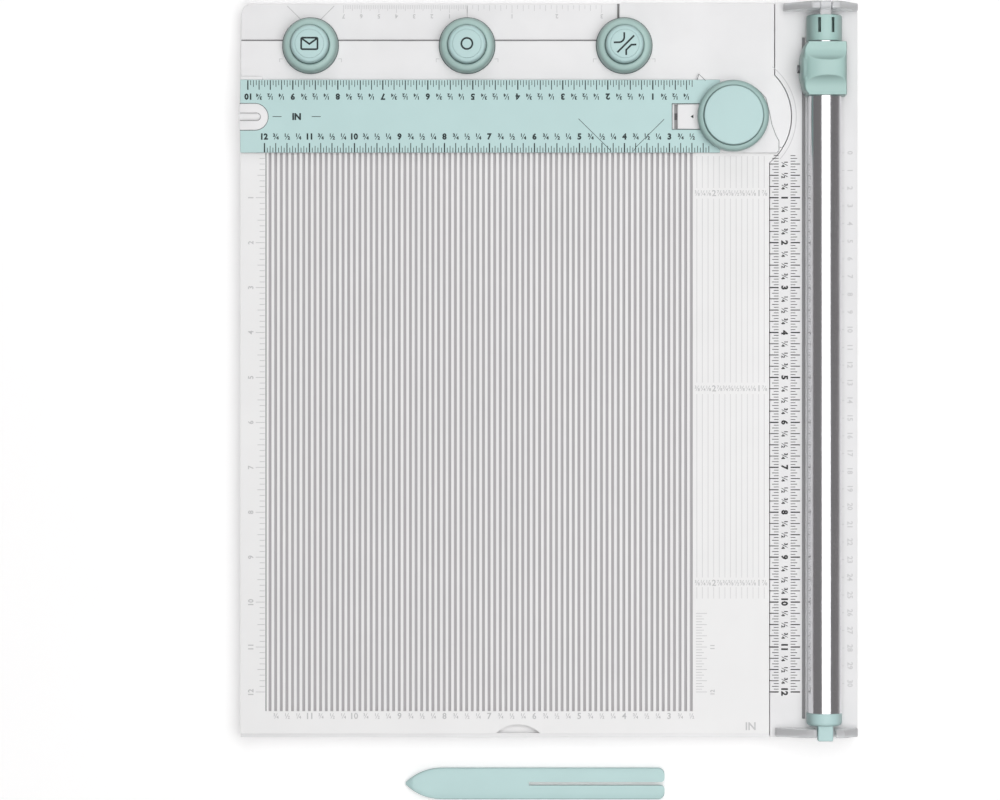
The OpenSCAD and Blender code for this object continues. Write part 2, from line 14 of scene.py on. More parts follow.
import bmesh
import bpy
import numpy as np
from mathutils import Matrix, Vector

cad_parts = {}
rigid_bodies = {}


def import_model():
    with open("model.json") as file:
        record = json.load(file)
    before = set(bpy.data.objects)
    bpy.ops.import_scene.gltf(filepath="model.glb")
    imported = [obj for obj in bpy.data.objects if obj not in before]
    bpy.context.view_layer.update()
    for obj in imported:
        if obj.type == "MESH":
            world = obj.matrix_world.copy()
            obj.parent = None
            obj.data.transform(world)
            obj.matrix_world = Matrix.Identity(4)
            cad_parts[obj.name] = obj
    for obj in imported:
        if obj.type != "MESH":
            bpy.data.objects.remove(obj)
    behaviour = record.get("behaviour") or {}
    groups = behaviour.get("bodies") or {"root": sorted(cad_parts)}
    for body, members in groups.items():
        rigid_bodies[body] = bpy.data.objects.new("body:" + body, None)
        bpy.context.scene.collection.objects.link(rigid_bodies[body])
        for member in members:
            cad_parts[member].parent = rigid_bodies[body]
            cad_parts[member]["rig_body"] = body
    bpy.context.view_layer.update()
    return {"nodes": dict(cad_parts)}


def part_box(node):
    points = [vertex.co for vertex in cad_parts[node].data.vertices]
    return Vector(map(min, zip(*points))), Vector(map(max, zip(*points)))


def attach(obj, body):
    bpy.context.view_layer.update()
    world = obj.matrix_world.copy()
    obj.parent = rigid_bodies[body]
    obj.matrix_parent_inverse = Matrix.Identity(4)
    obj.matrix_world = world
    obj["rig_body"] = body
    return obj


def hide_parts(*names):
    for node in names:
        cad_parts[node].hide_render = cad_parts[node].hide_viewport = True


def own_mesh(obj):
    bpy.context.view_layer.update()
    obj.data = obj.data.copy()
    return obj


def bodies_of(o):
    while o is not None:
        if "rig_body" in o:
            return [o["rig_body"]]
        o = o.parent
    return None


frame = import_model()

LOG = logging.getLogger("scoring_board")
MM = 0.001
INCH = 25.4
Point = tuple[float, float]
Place = tuple[float, float, float]


# ---------------------------------------------------------------- frame sizes

def low(node: str) -> np.ndarray:
    """Lowest corner of a CAD node, in millimetres."""
    return np.array(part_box(node)[0]) / MM


def high(node: str) -> np.ndarray:
    """Highest corner of a CAD node, in millimetres."""
    return np.array(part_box(node)[1]) / MM


def middle(node: str) -> np.ndarray:
    """Centre of a CAD node's box, in millimetres."""
    return (low(node) + high(node)) / 2


# ---------------------------------------------------------------- colours and finishes

def linear(red: float, green: float, blue: float) -> tuple[float, float, float, float]:
    """Turns display values from 0 to 255 into the linear colour that shaders take.

    Args:
        red: Red as a display value.
        green: Green as a display value.
        blue: Blue as a display value.

    Returns:
        Red, green, blue and an alpha of 1.
    """
    share = np.array([red, green, blue]) / 255
    curve = np.where(share <= 0.04045, share / 12.92, ((share + 0.055) / 1.055) ** 2.4)
    return (*(float(c) for c in curve), 1.0)


class Recipe:
    """A material under construction: its node tree, its shader and short ways to add nodes."""

    def __init__(self, name: str) -> None:
        """Starts a node material.

        Args:
            name: Name of the material.
        """
        self.material = bpy.data.materials.new(name)
        self.material.use_nodes = True
        self.tree = self.material.node_tree
        self.shader = self.tree.nodes["Principled BSDF"]
        coordinates = self.tree.nodes.new("ShaderNodeTexCoord")
        self.place = coordinates.outputs["Object"]
        self.facing = coordinates.outputs["Normal"]

    def add(self, kind: str, **values: object) -> bpy.types.Node:
        """Adds a node and sets its properties.

        Args:
            kind: Blender's name of the node type.
            **values: Properties of the node.

        Returns:
            The new node.
        """
        node = self.tree.nodes.new(kind)
        for key, value in values.items():
            setattr(node, key, value)
        return node

    def link(self, source: bpy.types.NodeSocket, target: bpy.types.NodeSocket) -> None:
        """Joins two sockets."""
        self.tree.links.new(source, target)

    def noise(self, size_mm: float, detail: float = 3.0, stretch: Place = (1, 1, 1)) -> bpy.types.NodeSocket:
        """A noise on the piece's own coordinates.

        Args:
            size_mm: Size of a patch in millimetres.
            detail: Number of finer layers.
            stretch: Factor along each axis; a small one draws the patches out.

        Returns:
            The socket of the value, about 0.5 on average.
        """
        mapping = self.add("ShaderNodeMapping")
        mapping.inputs["Scale"].default_value = stretch
        noise = self.add("ShaderNodeTexNoise")
        noise.inputs["Scale"].default_value = 1 / (size_mm * MM)
        noise.inputs["Detail"].default_value = detail
        self.link(self.place, mapping.inputs["Vector"])
        self.link(mapping.outputs["Vector"], noise.inputs["Vector"])
        return noise.outputs["Fac"]

    def ramp(self, value: bpy.types.NodeSocket, start: float, end: float) -> bpy.types.NodeSocket:
        """Spreads a noise of about 0.3 to 0.7 over a range of numbers.

        Args:
            value: Socket to read.
            start: Result at 0.3.
            end: Result at 0.7.

        Returns:
            The socket of the result.
        """
        spread = self.add("ShaderNodeMapRange")
        spread.inputs["From Min"].default_value = 0.3
        spread.inputs["From Max"].default_value = 0.7
        spread.inputs["To Min"].default_value = start
        spread.inputs["To Max"].default_value = end
        self.link(value, spread.inputs["Value"])
        return spread.outputs["Result"]

    def blend(self, amount: bpy.types.NodeSocket, first: Sequence[float],
              second: Sequence[float]) -> bpy.types.NodeSocket:
        """Mixes two colours by a socket's value.

        Args:
            amount: Share of the second colour, from 0 to 1.
            first: Linear colour.
            second: Linear colour.

        Returns:
            The socket of the mixed colour.
        """
        mix = self.add("ShaderNodeMix", data_type="RGBA")
        mix.inputs["A"].default_value = first
        mix.inputs["B"].default_value = second
        self.link(amount, mix.inputs["Factor"])
        return mix.outputs["Result"]

    def relief(self, height: bpy.types.NodeSocket, depth_mm: float) -> None:
        """Raises the surface by a socket's value.

        Args:
            height: Socket with the height, from 0 to 1.
            depth_mm: Height of a value of 1, in millimetres.
        """
        bump = self.add("ShaderNodeBump")
        bump.inputs["Distance"].default_value = depth_mm * MM
        self.link(height, bump.inputs["Height"])
        self.link(bump.outputs["Normal"], self.shader.inputs["Normal"])


def shade(colour: Sequence[float], factor: float) -> tuple[float, float, float, float]:
    """A colour made lighter or darker by a factor."""
    return (*(min(1.0, c * factor) for c in colour[:3]), 1.0)


@dataclass(frozen=True)
class MouldedPlastic:
    """Opaque moulded plastic with a spark-eroded grain and a faint flow mottle.

    Attributes:
        name: Name of the material.
        slot: Material slot in the record; not used.
        colour: Linear base colour.
        roughness: Middle roughness.
        grain_mm: Size of the surface grain.
        grain_depth_mm: Height of the grain.
        mottle: Share by which the colour wanders.
        groove_z_mm: Height below which the surface is the floor of a groove and takes painted shade, or None.
        groove_painted_shade: Linear colour of the painted shade on such a floor.
        upright_painted_shade: Share of the colour that is left where the skin stands upright: painted shade on the
            sides.
    """

    name: str
    slot: str
    colour: tuple[float, float, float, float]
    roughness: float = 0.42
    grain_mm: float = 0.35
    grain_depth_mm: float = 0.006
    mottle: float = 0.03
    groove_z_mm: float | None = None
    groove_painted_shade: tuple[float, float, float, float] = (0.4, 0.4, 0.4, 1.0)
    upright_painted_shade: float = 1.0

    def material(self) -> bpy.types.Material:
        """Makes the node material: colour mottle, painted shade in grooves and on upright sides, patchy gloss and
        fine grain.

        Returns:
            The finished material.
        """
        recipe = Recipe(self.name)
        mottle = recipe.ramp(recipe.noise(38, 4), 0, 1)
        colour = recipe.blend(mottle, shade(self.colour, 1 - self.mottle), shade(self.colour, 1 + self.mottle))
        # Painted shade: groove floors take a darker colour.
        if self.groove_z_mm is not None:
            colour = self._painted_groove_shade(recipe, colour)
        # Painted shade: upright skin takes a darker colour.
        if self.upright_painted_shade < 1:
            colour = self._painted_side_shade(recipe, colour)
        recipe.link(colour, recipe.shader.inputs["Base Color"])
        gloss = recipe.ramp(recipe.noise(9, 5), self.roughness - 0.05, self.roughness + 0.05)
        recipe.link(gloss, recipe.shader.inputs["Roughness"])
        recipe.relief(recipe.noise(self.grain_mm, 2), self.grain_depth_mm)
        return recipe.material

    def _painted_groove_shade(self, recipe: Recipe, colour: bpy.types.NodeSocket) -> bpy.types.NodeSocket:
        """Paints shade on what lies below the working surface, with a soft step at the groove's edge.

        Args:
            recipe: Material under construction.
            colour: Socket of the colour above the grooves.

        Returns:
            The socket of the result.
        """
        split = recipe.add("ShaderNodeSeparateXYZ")
        recipe.link(recipe.place, split.inputs["Vector"])
        step = recipe.add("ShaderNodeMapRange", interpolation_type="SMOOTHSTEP")
        step.inputs["From Min"].default_value = self.groove_z_mm * MM
        step.inputs["From Max"].default_value = (self.groove_z_mm + 0.12) * MM
        recipe.link(split.outputs["Z"], step.inputs["Value"])
        mix = recipe.add("ShaderNodeMix", data_type="RGBA")
        mix.inputs["A"].default_value = self.groove_painted_shade
        recipe.link(step.outputs["Result"], mix.inputs["Factor"])
        recipe.link(colour, mix.inputs["B"])
        return mix.outputs["Result"]

    def _painted_side_shade(self, recipe: Recipe, colour: bpy.types.NodeSocket) -> bpy.types.NodeSocket:
        """Paints shade: darkens the colour as the skin turns from lying flat to standing upright.

        Args:
            recipe: Material under construction.
            colour: Socket of the colour of flat skin.

        Returns:
            The socket of the result.
        """
        split = recipe.add("ShaderNodeSeparateXYZ")
        recipe.link(recipe.facing, split.inputs["Vector"])
        upright = recipe.add("ShaderNodeMath", operation="ABSOLUTE")
        recipe.link(split.outputs["Z"], upright.inputs[0])
        tone = recipe.add("ShaderNodeMapRange", interpolation_type="SMOOTHSTEP")
        tone.inputs["From Min"].default_value = 0.45
        tone.inputs["From Max"].default_value = 0.99
        tone.inputs["To Min"].default_value = self.upright_painted_shade
        tone.inputs["To Max"].default_value = 1.0
        recipe.link(upright.outputs["Value"], tone.inputs["Value"])
        scale = recipe.add("ShaderNodeVectorMath", operation="SCALE")
        recipe.link(colour, scale.inputs[0])
        recipe.link(tone.outputs["Result"], scale.inputs["Scale"])
        return scale.outputs["Vector"]


@dataclass(frozen=True)
class DrawnMetal:
    """Bare metal with fine draw lines.

    Attributes:
        name: Name of the material.
        slot: Material slot in the record; not used.
        colour: Linear colour of the metal.
        roughness: Middle roughness.
        stretch: Factor along each axis for the draw lines; a small one draws them out.
        line_depth_mm: Depth of the lines.
    """

    name: str
    slot: str
    colour: tuple[float, float, float, float]
    roughness: float = 0.16
    stretch: Place = (1, 0.01, 1)
    line_depth_mm: float = 0.0015

    def material(self) -> bpy.types.Material:
        """Makes the node material: draw lines in gloss and relief over a faint cloud of colour.

        Returns:
            The finished material.
        """
        recipe = Recipe(self.name)
        recipe.shader.inputs["Metallic"].default_value = 1.0
        lines = recipe.noise(0.5, 3, self.stretch)
        cloud = recipe.ramp(recipe.noise(60, 3), 0, 1)
        colour = recipe.blend(cloud, shade(self.colour, 0.97), shade(self.colour, 1.03))
        recipe.link(colour, recipe.shader.inputs["Base Color"])
        gloss = recipe.ramp(lines, self.roughness - 0.03, self.roughness + 0.04)
        recipe.link(gloss, recipe.shader.inputs["Roughness"])
        recipe.relief(lines, self.line_depth_mm)
        return recipe.material


@dataclass(frozen=True)
class ClearPlastic:
    """Clear moulded plastic with a faint grey body, slight waves from the mould and a faint painted light from
    within.

    Attributes:
        name: Name of the material.
        slot: Material slot in the record; not used.
        colour: Linear tint.
        roughness: Roughness of the skin.
        clarity: Share of the light that goes through.
        ior: Refractive index.
        painted_glow: Strength of the emission, painted light that brightens the clear body.
    """

    name: str
    slot: str
    colour: tuple[float, float, float, float]
    roughness: float = 0.12
    clarity: float = 0.55
    ior: float = 1.3
    painted_glow: float = 0.02

    def material(self) -> bpy.types.Material:
        """Makes the node material: a transmitting shader with slow waves and a faint painted light.

        Returns:
            The finished material.
        """
        recipe = Recipe(self.name)
        recipe.shader.inputs["Base Color"].default_value = self.colour
        recipe.shader.inputs["Transmission Weight"].default_value = self.clarity
        recipe.shader.inputs["IOR"].default_value = self.ior
        # Painted light: the body emits its own tint.
        recipe.shader.inputs["Emission Color"].default_value = self.colour
        recipe.shader.inputs["Emission Strength"].default_value = self.painted_glow
        gloss = recipe.ramp(recipe.noise(6, 3), self.roughness - 0.03, self.roughness + 0.04)
        recipe.link(gloss, recipe.shader.inputs["Roughness"])
        recipe.relief(recipe.noise(3, 3, (0.4, 1, 1)), 0.09)
        return recipe.material


@dataclass(frozen=True)
class Ink:
    """Printing ink: a thin film that is a little uneven.

    Attributes:
        name: Name of the material.
        slot: Material slot in the record; not used.
        colour: Linear colour.
        unevenness: Share by which the colour wanders.
    """

    name: str
    slot: str
    colour: tuple[float, float, float, float]
    unevenness: float = 0.12

    def material(self) -> bpy.types.Material:
        """Makes the node material: speckled colour and a dull skin.

        Returns:
            The finished material.
        """
        recipe = Recipe(self.name)
        speck = recipe.ramp(recipe.noise(0.4, 2), 0, 1)
        colour = recipe.blend(speck, shade(self.colour, 1 - self.unevenness), shade(self.colour, 1 + self.unevenness))
        recipe.link(colour, recipe.shader.inputs["Base Color"])
        recipe.link(recipe.ramp(recipe.noise(1.2, 2), 0.5, 0.65), recipe.shader.inputs["Roughness"])
        return recipe.material


Finish = MouldedPlastic | DrawnMetal | ClearPlastic | Ink


class Palette:
    """Every finish on the object, made once and handed out by name."""

    WHITE = MouldedPlastic("white_plastic", "white_plastic", linear(232, 232, 233), 0.38)
    # The panel's groove floors take painted shade.
    PANEL = MouldedPlastic("panel_plastic", "panel_plastic", linear(238, 238, 238), 0.5, 0.3, 0.008, 0.015,
                           groove_z_mm=13.45, groove_painted_shade=linear(181, 178, 181))
    PANEL_EDGE = MouldedPlastic("panel_edge_plastic", "panel_plastic", linear(240, 240, 240), 0.5, 0.3, 0.008, 0.015)
    # Slightly darker copy of the white plastic: painted shade on the trimmer bed.
    SHADED_BED_WHITE = MouldedPlastic("bed_plastic_painted_shade", "white_plastic", linear(229, 229, 230), 0.38)
    # Darker copies of the mint are painted shade on the saddle, rear cap, knob ring, blade guard and collars.
    SHADED_MINT_MID = MouldedPlastic("mint_plastic_painted_shade_mid", "mint_plastic", linear(171, 203, 198), 0.36, 0.3, 0.006, 0.03,
                              upright_painted_shade=0.58)
    MINT = MouldedPlastic("mint_plastic", "mint_plastic", linear(185, 215, 214), 0.4, 0.3, 0.006, 0.02,
                          upright_painted_shade=0.66)
    MINT_SHADE = MouldedPlastic("mint_plastic_painted_shade_deep", "mint_plastic", linear(162, 191, 187), 0.36, 0.3, 0.006, 0.03,
                                upright_painted_shade=0.72)
    SHADED_COLLAR_MINT = MouldedPlastic("mint_plastic_painted_shade_collar", "mint_plastic", linear(172, 200, 195), 0.36, 0.3, 0.006, 0.03,
                            upright_painted_shade=0.68)
    # Grey for raised marks and fine-line floors on white plastic: painted shade.
    SHADED_MOULDED_MARK = MouldedPlastic("moulded_mark", "white_plastic", linear(196, 196, 197), 0.45)
    SHADED_FAINT_MARK = MouldedPlastic("faint_mark_painted_shade", "white_plastic", linear(203, 203, 204), 0.45)
    SHADED_HAIRLINE = MouldedPlastic("panel_hairline_painted_shade", "panel_plastic", linear(216, 215, 216), 0.5)
    # Dark strips of painted shadow, laid where steps, outlines and deep lines would throw shade.
    DEEP_PAINTED_SHADOW = MouldedPlastic("painted_deep_shadow_strip", "mint_plastic", linear(88, 95, 96), 0.6)
    PAINTED_SHADOW_STRIP = MouldedPlastic("shadow_strip_painted", "white_plastic", linear(140, 140, 141), 0.6)
    COLLAR_PAINTED_SHADOW = MouldedPlastic("painted_collar_shadow_ring", "mint_plastic", linear(70, 84, 84), 0.6)
    # Clear plastic with a faint painted light from within.
    CLEAR = ClearPlastic("clear_plastic", "clear_plastic", linear(246, 247, 249))
    RAIL = DrawnMetal("rail_aluminium", "rail_aluminium", linear(228, 228, 231))
    STEEL = DrawnMetal("bright_steel", "screw_steel", linear(196, 197, 199), 0.28, (1, 1, 0.05), 0.003)
    # Darker, duller copy of the bright steel: painted shade that keeps the axle's end from glinting.
    SHADED_AXLE_STEEL = DrawnMetal("axle_steel_painted_shade", "screw_steel", linear(104, 106, 108), 0.42, (1, 1, 1), 0.002)
    SPRING = DrawnMetal("spring_steel", "spring_steel", linear(180, 181, 184), 0.3, (1, 1, 1), 0.002)
    STRIP = MouldedPlastic("cutting_strip_plastic", "strip_plastic", linear(150, 150, 152), 0.6, 0.3, 0.01, 0.05)
    RUNNER = MouldedPlastic("runner_plastic", "runner_plastic", linear(66, 66, 68), 0.45)
    RUBBER = MouldedPlastic("foot_rubber", "foot_rubber", linear(62, 62, 63), 0.75, 0.5, 0.02, 0.08)
    MINT_INK = Ink("scale_ink", "mint_plastic", linear(16, 38, 40))
    DARK_INK = Ink("bed_ink", "white_plastic", linear(26, 26, 28))

    def __init__(self) -> None:
        """Starts with no material made."""
        self._made: dict[str, bpy.types.Material] = {}

    def material(self, finish: Finish) -> bpy.types.Material:
        """The material of a finish, made on first use."""
        if finish.name not in self._made:
            self._made[finish.name] = finish.material()
        return self._made[finish.name]


PALETTE = Palette()


# ---------------------------------------------------------------- surfaces

@dataclass
class Surface:
    """Points and faces of a mesh, as arrays.

    Attributes:
        points: Points in millimetres, one row each.
        faces: Arrays of corner numbers, each with 3 or 4 columns.
    """

    points: np.ndarray
    faces: list[np.ndarray]

    @staticmethod
    def joined(parts: Sequence["Surface"]) -> "Surface":
        """Gathers surfaces into one, without welding them.

        Args:
            parts: The surfaces.

        Returns:
            One surface with all their points and faces.
        """
        starts = np.cumsum([0] + [len(p.points) for p in parts[:-1]])
        points = np.concatenate([p.points for p in parts])
        faces = [f + start for p, start in zip(parts, starts) for f in p.faces]
        return Surface(points, faces)

    def moved(self, offset: Sequence[float]) -> "Surface":
        """A copy moved by an offset in millimetres."""
        return Surface(self.points + np.asarray(offset, float), self.faces)

    def turned(self, degrees: float) -> "Surface":
        """A copy turned anticlockwise about Z."""
        c, s = math.cos(math.radians(degrees)), math.sin(math.radians(degrees))
        return Surface(self.points @ np.array([[c, s, 0], [-s, c, 0], [0, 0, 1]]), self.faces)


def lattice(rows: int, columns: int, wrap_rows: bool = False, wrap_columns: bool = False) -> np.ndarray:
    """Corner numbers of the quads of a grid of points.

    Args:
        rows: Number of rows.
        columns: Number of points in a row.
        wrap_rows: Joins the last row to the first.
        wrap_columns: Joins each row's last point to its first.

    Returns:
        One row of four numbers for each quad.
    """
    r = np.arange(rows if wrap_rows else rows - 1)[:, None]
    c = np.arange(columns if wrap_columns else columns - 1)[None, :]
    r2, c2 = (r + 1) % rows, (c + 1) % columns
    near, far = r * columns, r2 * columns
    return np.stack(np.broadcast_arrays(near + c, near + c2, far + c2, far + c), -1).reshape(-1, 4)


def arc(centre: Point, radius: float | Point, start: float, end: float, count: int = 8) -> np.ndarray:
    """Points on an arc of a circle or an ellipse.

    Args:
        centre: Centre of the arc.
        radius: Radius, or the two half axes.
        start: Angle of the first point, in degrees.
        end: Angle of the last point, in degrees.
        count: Number of points.

    Returns:
        One row of two numbers for each point.
    """
    angle = np.radians(np.linspace(start, end, count))
    return np.asarray(centre, float) + np.asarray(radius, float) * np.stack([np.cos(angle), np.sin(angle)], 1)


def lathe(profile: np.ndarray, centre: Place, segments: int = 96) -> Surface:
    """Turns a profile about a vertical axis: each point (r, z) goes round to (r cos a, r sin a, z).

    A profile that starts and ends on the axis stays open; any other is closed from its last point to its first.

    Args:
        profile: Rows of radius and height.
        centre: Point of the axis that heights are measured from.
        segments: Number of steps round the axis.

    Returns:
        The closed surface of revolution.
    """
    angle = np.linspace(0, 2 * np.pi, segments, endpoint=False)[:, None]
    r, z = profile[None, :, 0], profile[None, :, 1]
    points = np.stack([r * np.cos(angle), r * np.sin(angle), np.broadcast_to(z, (segments, profile.shape[0]))], -1)
    points = points.reshape(-1, 3) + np.asarray(centre, float)
    return Surface(points, [lattice(segments, len(profile), True, bool(profile[0, 0] + profile[-1, 0]))])


def loft(rings: np.ndarray) -> Surface:
    """Skins closed rings one after another and closes both ends with a fan about the ring's middle.

    Args:
        rings: Array of rings, each with the same number of points.

    Returns:
        The closed surface.
    """
    count, size = rings.shape[:2]
    points = np.concatenate([rings.reshape(-1, 3), rings[0].mean(0)[None], rings[-1].mean(0)[None]])
    k = np.arange(size)
    n = (k + 1) % size
    first = np.stack([n, k, np.full(size, count * size)], 1)
    base = (count - 1) * size
    last = np.stack([base + k, base + n, np.full(size, count * size + 1)], 1)
    return Surface(points, [lattice(count, size, False, True), first, last])


def sleeve(outer: np.ndarray, inner: np.ndarray) -> Surface:
    """A wall between two open skins with matching points, closed at both ends and along both edges.

    Args:
        outer: Grid of points of the outer skin: stations by contour points.
        inner: Grid of the inner skin, with the same shape.

    Returns:
        The closed surface.
    """
    loop = np.concatenate([outer, inner[:, ::-1]], axis=1)
    stations, size = loop.shape[:2]
    half = size // 2
    k = np.arange(half - 1)
    cap = np.stack([k, k + 1, size - 2 - k, size - 1 - k], 1)
    end = (stations - 1) * size
    return Surface(loop.reshape(-1, 3), [lattice(stations, size, False, True), cap, cap[:, ::-1] + end])


def rounded_block(corner: Sequence[float], opposite: Sequence[float], radius: float, steps: int = 5) -> Surface:
    """A block with every edge rounded: a ball of the given radius, pulled apart into its eight octants.

    Args:
        corner: Lowest corner.
        opposite: Highest corner.
        radius: Radius of the edges.
        steps: Points along a quarter turn.

    Returns:
        The closed surface.
    """
    a, b = np.asarray(corner, float), np.asarray(opposite, float)
    quarter = np.linspace(0, np.pi / 2, steps)
    tilt = np.concatenate([quarter - np.pi / 2, quarter])
    turn = np.concatenate([quarter + k * np.pi / 2 for k in range(4)])
    side = np.repeat(np.array([[1, 1], [-1, 1], [-1, -1], [1, -1]]), steps, axis=0)
    rise = np.repeat([-1, 1], steps)
    ball = np.stack([np.cos(tilt)[:, None] * np.cos(turn), np.cos(tilt)[:, None] * np.sin(turn),
                     np.broadcast_to(np.sin(tilt)[:, None], (2 * steps, 4 * steps))], -1)
    signs = np.stack([np.broadcast_to(side[:, 0], ball.shape[:2]), np.broadcast_to(side[:, 1], ball.shape[:2]),
                      np.broadcast_to(rise[:, None], ball.shape[:2])], -1)
    rings = (a + b) / 2 + signs * ((b - a) / 2 - radius) + ball * radius
    return loft(rings)


def slabs(boxes: np.ndarray) -> Surface:
    """Thin plates, one for each row of lowest and highest x, y and z.

    Args:
        boxes: Rows of x0, y0, z0, x1, y1, z1.

    Returns:
        All the plates as one surface.
    """
    pick = np.array([[0, 1, 2], [3, 1, 2], [3, 4, 2], [0, 4, 2], [0, 1, 5], [3, 1, 5], [3, 4, 5], [0, 4, 5]])
    skin = np.array([[3, 2, 1, 0], [4, 5, 6, 7], [0, 1, 5, 4], [1, 2, 6, 5], [2, 3, 7, 6], [3, 0, 4, 7]])
    boxes = np.asarray(boxes, float)
    faces = (np.arange(len(boxes)) * 8)[:, None, None] + skin
    return Surface(boxes[:, pick].reshape(-1, 3), [faces.reshape(-1, 4)])


def stroke(path: np.ndarray, width: float, z0: float, z1: float, closed: bool = False) -> Surface:
    """A flat line of even width along a path, as a plate: each point is set off along the corner's bisector.

    Args:
        path: Rows of x and y.
        width: Width of the line.
        z0: Height of its underside.
        z1: Height of its top.
        closed: Joins the end to the start.

    Returns:
        The closed plate.
    """
    path = np.asarray(path, float)
    before = np.roll(path, 1, 0) if closed else np.vstack([2 * path[0] - path[1], path[:-1]])
    after = np.roll(path, -1, 0) if closed else np.vstack([path[1:], 2 * path[-1] - path[-2]])
    along_in = (path - before) / np.linalg.norm(path - before, axis=1, keepdims=True)
    along_out = (after - path) / np.linalg.norm(after - path, axis=1, keepdims=True)
    across = np.stack([-(along_in + along_out)[:, 1], (along_in + along_out)[:, 0]], 1)
    across /= np.linalg.norm(across, axis=1, keepdims=True)
    spread = np.clip((along_in * along_out).sum(1), -0.9, 1)
    reach = (width / 2 / np.sqrt((1 + spread) / 2))[:, None] * across
    ring = np.stack([np.c_[path + reach, np.full(len(path), z0)], np.c_[path + reach, np.full(len(path), z1)],
                     np.c_[path - reach, np.full(len(path), z1)], np.c_[path - reach, np.full(len(path), z0)]], 1)
    if closed:
        return Surface(ring.reshape(-1, 3), [lattice(len(path), 4, True, True)])
    return loft(ring)


# ---------------------------------------------------------------- pieces

class Edge(Enum):
    """How a mesh is shaded across its edges, as the angle above which an edge stays sharp."""

    SMOOTH = 55.0
    CRISP = 28.0


def piece(surface: Surface, name: str, finish: Finish, body: str, edge: Edge = Edge.SMOOTH) -> bpy.types.Object:
    """Makes an object from a surface: welds seams and poles, turns faces outwards, shades and dresses it.

    Args:
        surface: Points and faces in millimetres.
        name: Name of the piece.
        finish: Finish that it takes.
        body: CAD body that it moves with.
        edge: How its edges are shaded.

    Returns:
        The new object.
    """
    mesh = bpy.data.meshes.new(name)
    mesh.from_pydata(surface.points * MM, [], [tuple(f) for block in surface.faces for f in block.tolist()])
    work = bmesh.new()
    work.from_mesh(mesh)
    bmesh.ops.remove_doubles(work, verts=work.verts, dist=1e-7)
    bmesh.ops.dissolve_degenerate(work, edges=work.edges, dist=1e-8)
    bmesh.ops.recalc_face_normals(work, faces=work.faces)
    work.to_mesh(mesh)
    work.free()
    return dressed(mesh, name, finish, body, edge)


def dressed(mesh: bpy.types.Mesh, name: str, finish: Finish, body: str, edge: Edge) -> bpy.types.Object:
    """Wraps a finished mesh in an object with its shading, material, slot and body.

    Args:
        mesh: The mesh, in metres.
        name: Name of the piece.
        finish: Finish that it takes.
        body: CAD body that it moves with.
        edge: How its edges are shaded.

    Returns:
        The new object.
    """
    mesh.shade_smooth()
    mesh.set_sharp_from_angle(angle=math.radians(edge.value))
    mesh.materials.clear()
    mesh.materials.append(PALETTE.material(finish))
    item = bpy.data.objects.new(name, mesh)
    bpy.context.scene.collection.objects.link(item)
    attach(item, body)
    LOG.info("%s: %d points, body %s, %s", name, len(mesh.vertices), body, finish.name)
    return item


def body_of(node: str) -> str:
    """Name of the CAD body that a node is on."""
    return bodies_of(frame["nodes"][node])[0]


def softened(node: str, finish: Finish, radius: float, split: bool = False, flat: bool = False) -> bpy.types.Object:
    """Stands in for a flat-sided CAD node with the same shape, its edges rounded by a bevel.

    Args:
        node: Name of the CAD node.
        finish: Finish that it takes.
        radius: Width of the bevel in millimetres.
        split: Cuts the flat faces into triangles first, for a node with many ribs and holes.
        flat: Shades the large faces quite flat, for a broad plate with holes.

    Returns:
        The new object, which replaces the node.
    """
    work = bmesh.new()
    work.from_mesh(frame["nodes"][node].data)
    bmesh.ops.remove_doubles(work, verts=work.verts, dist=2e-6)
    bmesh.ops.dissolve_limit(work, angle_limit=math.radians(0.5), verts=work.verts, edges=work.edges)
    if split:
        bmesh.ops.triangulate(work, faces=work.faces, quad_method="BEAUTY", ngon_method="BEAUTY")
    mesh = bpy.data.meshes.new(f"{node}_soft")
    work.to_mesh(mesh)
    work.free()
    item = dressed(mesh, f"{node}_soft", finish, body_of(node), Edge.SMOOTH)
    bevel = item.modifiers.new("rounded_edges", "BEVEL")
    bevel.width = radius * MM
    bevel.segments = 3
    bevel.limit_method = "ANGLE"
    bevel.angle_limit = math.radians(40)
    bevel.use_clamp_overlap = False
    bevel.harden_normals = True
    if flat:
        even = item.modifiers.new("flat_faces", "WEIGHTED_NORMAL")
        even.weight = 100
        even.keep_sharp = True
    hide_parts(node)
    return item


def carved(item: bpy.types.Object, tool: Surface) -> None:
    """Cuts a surface's space out of a piece and keeps the result as its mesh.

    Args:
        item: The piece.
        tool: Closed surface in millimetres that is taken away.
    """
    cutter_mesh = bpy.data.meshes.new("cutter")
    cutter_mesh.from_pydata(tool.points * MM, [], [tuple(f) for block in tool.faces for f in block.tolist()])
    cutter = bpy.data.objects.new("cutter", cutter_mesh)
    bpy.context.scene.collection.objects.link(cutter)
    cut = item.modifiers.new("cut", "BOOLEAN")
    cut.object = cutter
    cut.solver = "EXACT"
    bpy.context.view_layer.update()
    result = bpy.data.meshes.new_from_object(item.evaluated_get(bpy.context.evaluated_depsgraph_get()))
    item.modifiers.clear()
    old, item.data = item.data, result
    bpy.data.meshes.remove(old)
    bpy.data.objects.remove(cutter)
    bpy.data.meshes.remove(cutter_mesh)
    item.data.set_sharp_from_angle(angle=math.radians(Edge.CRISP.value))


def painted(finish: Finish, *nodes: str) -> None:
    """Gives CAD nodes that keep their own shape a finish.

    Args:
        finish: The finish.
        *nodes: Names of the nodes.
    """
    for node in nodes:
        item = frame["nodes"][node]
        item.data.materials.clear()
        item.data.materials.append(PALETTE.material(finish))
        LOG.info("%s: CAD shape kept, %s", node, finish.name)


# ---------------------------------------------------------------- marks

class Weight(Enum):
    """Stroke weight of a numeral, as the share of its size by which its outline grows."""

    REGULAR = 0.022
    BOLD = 0.05


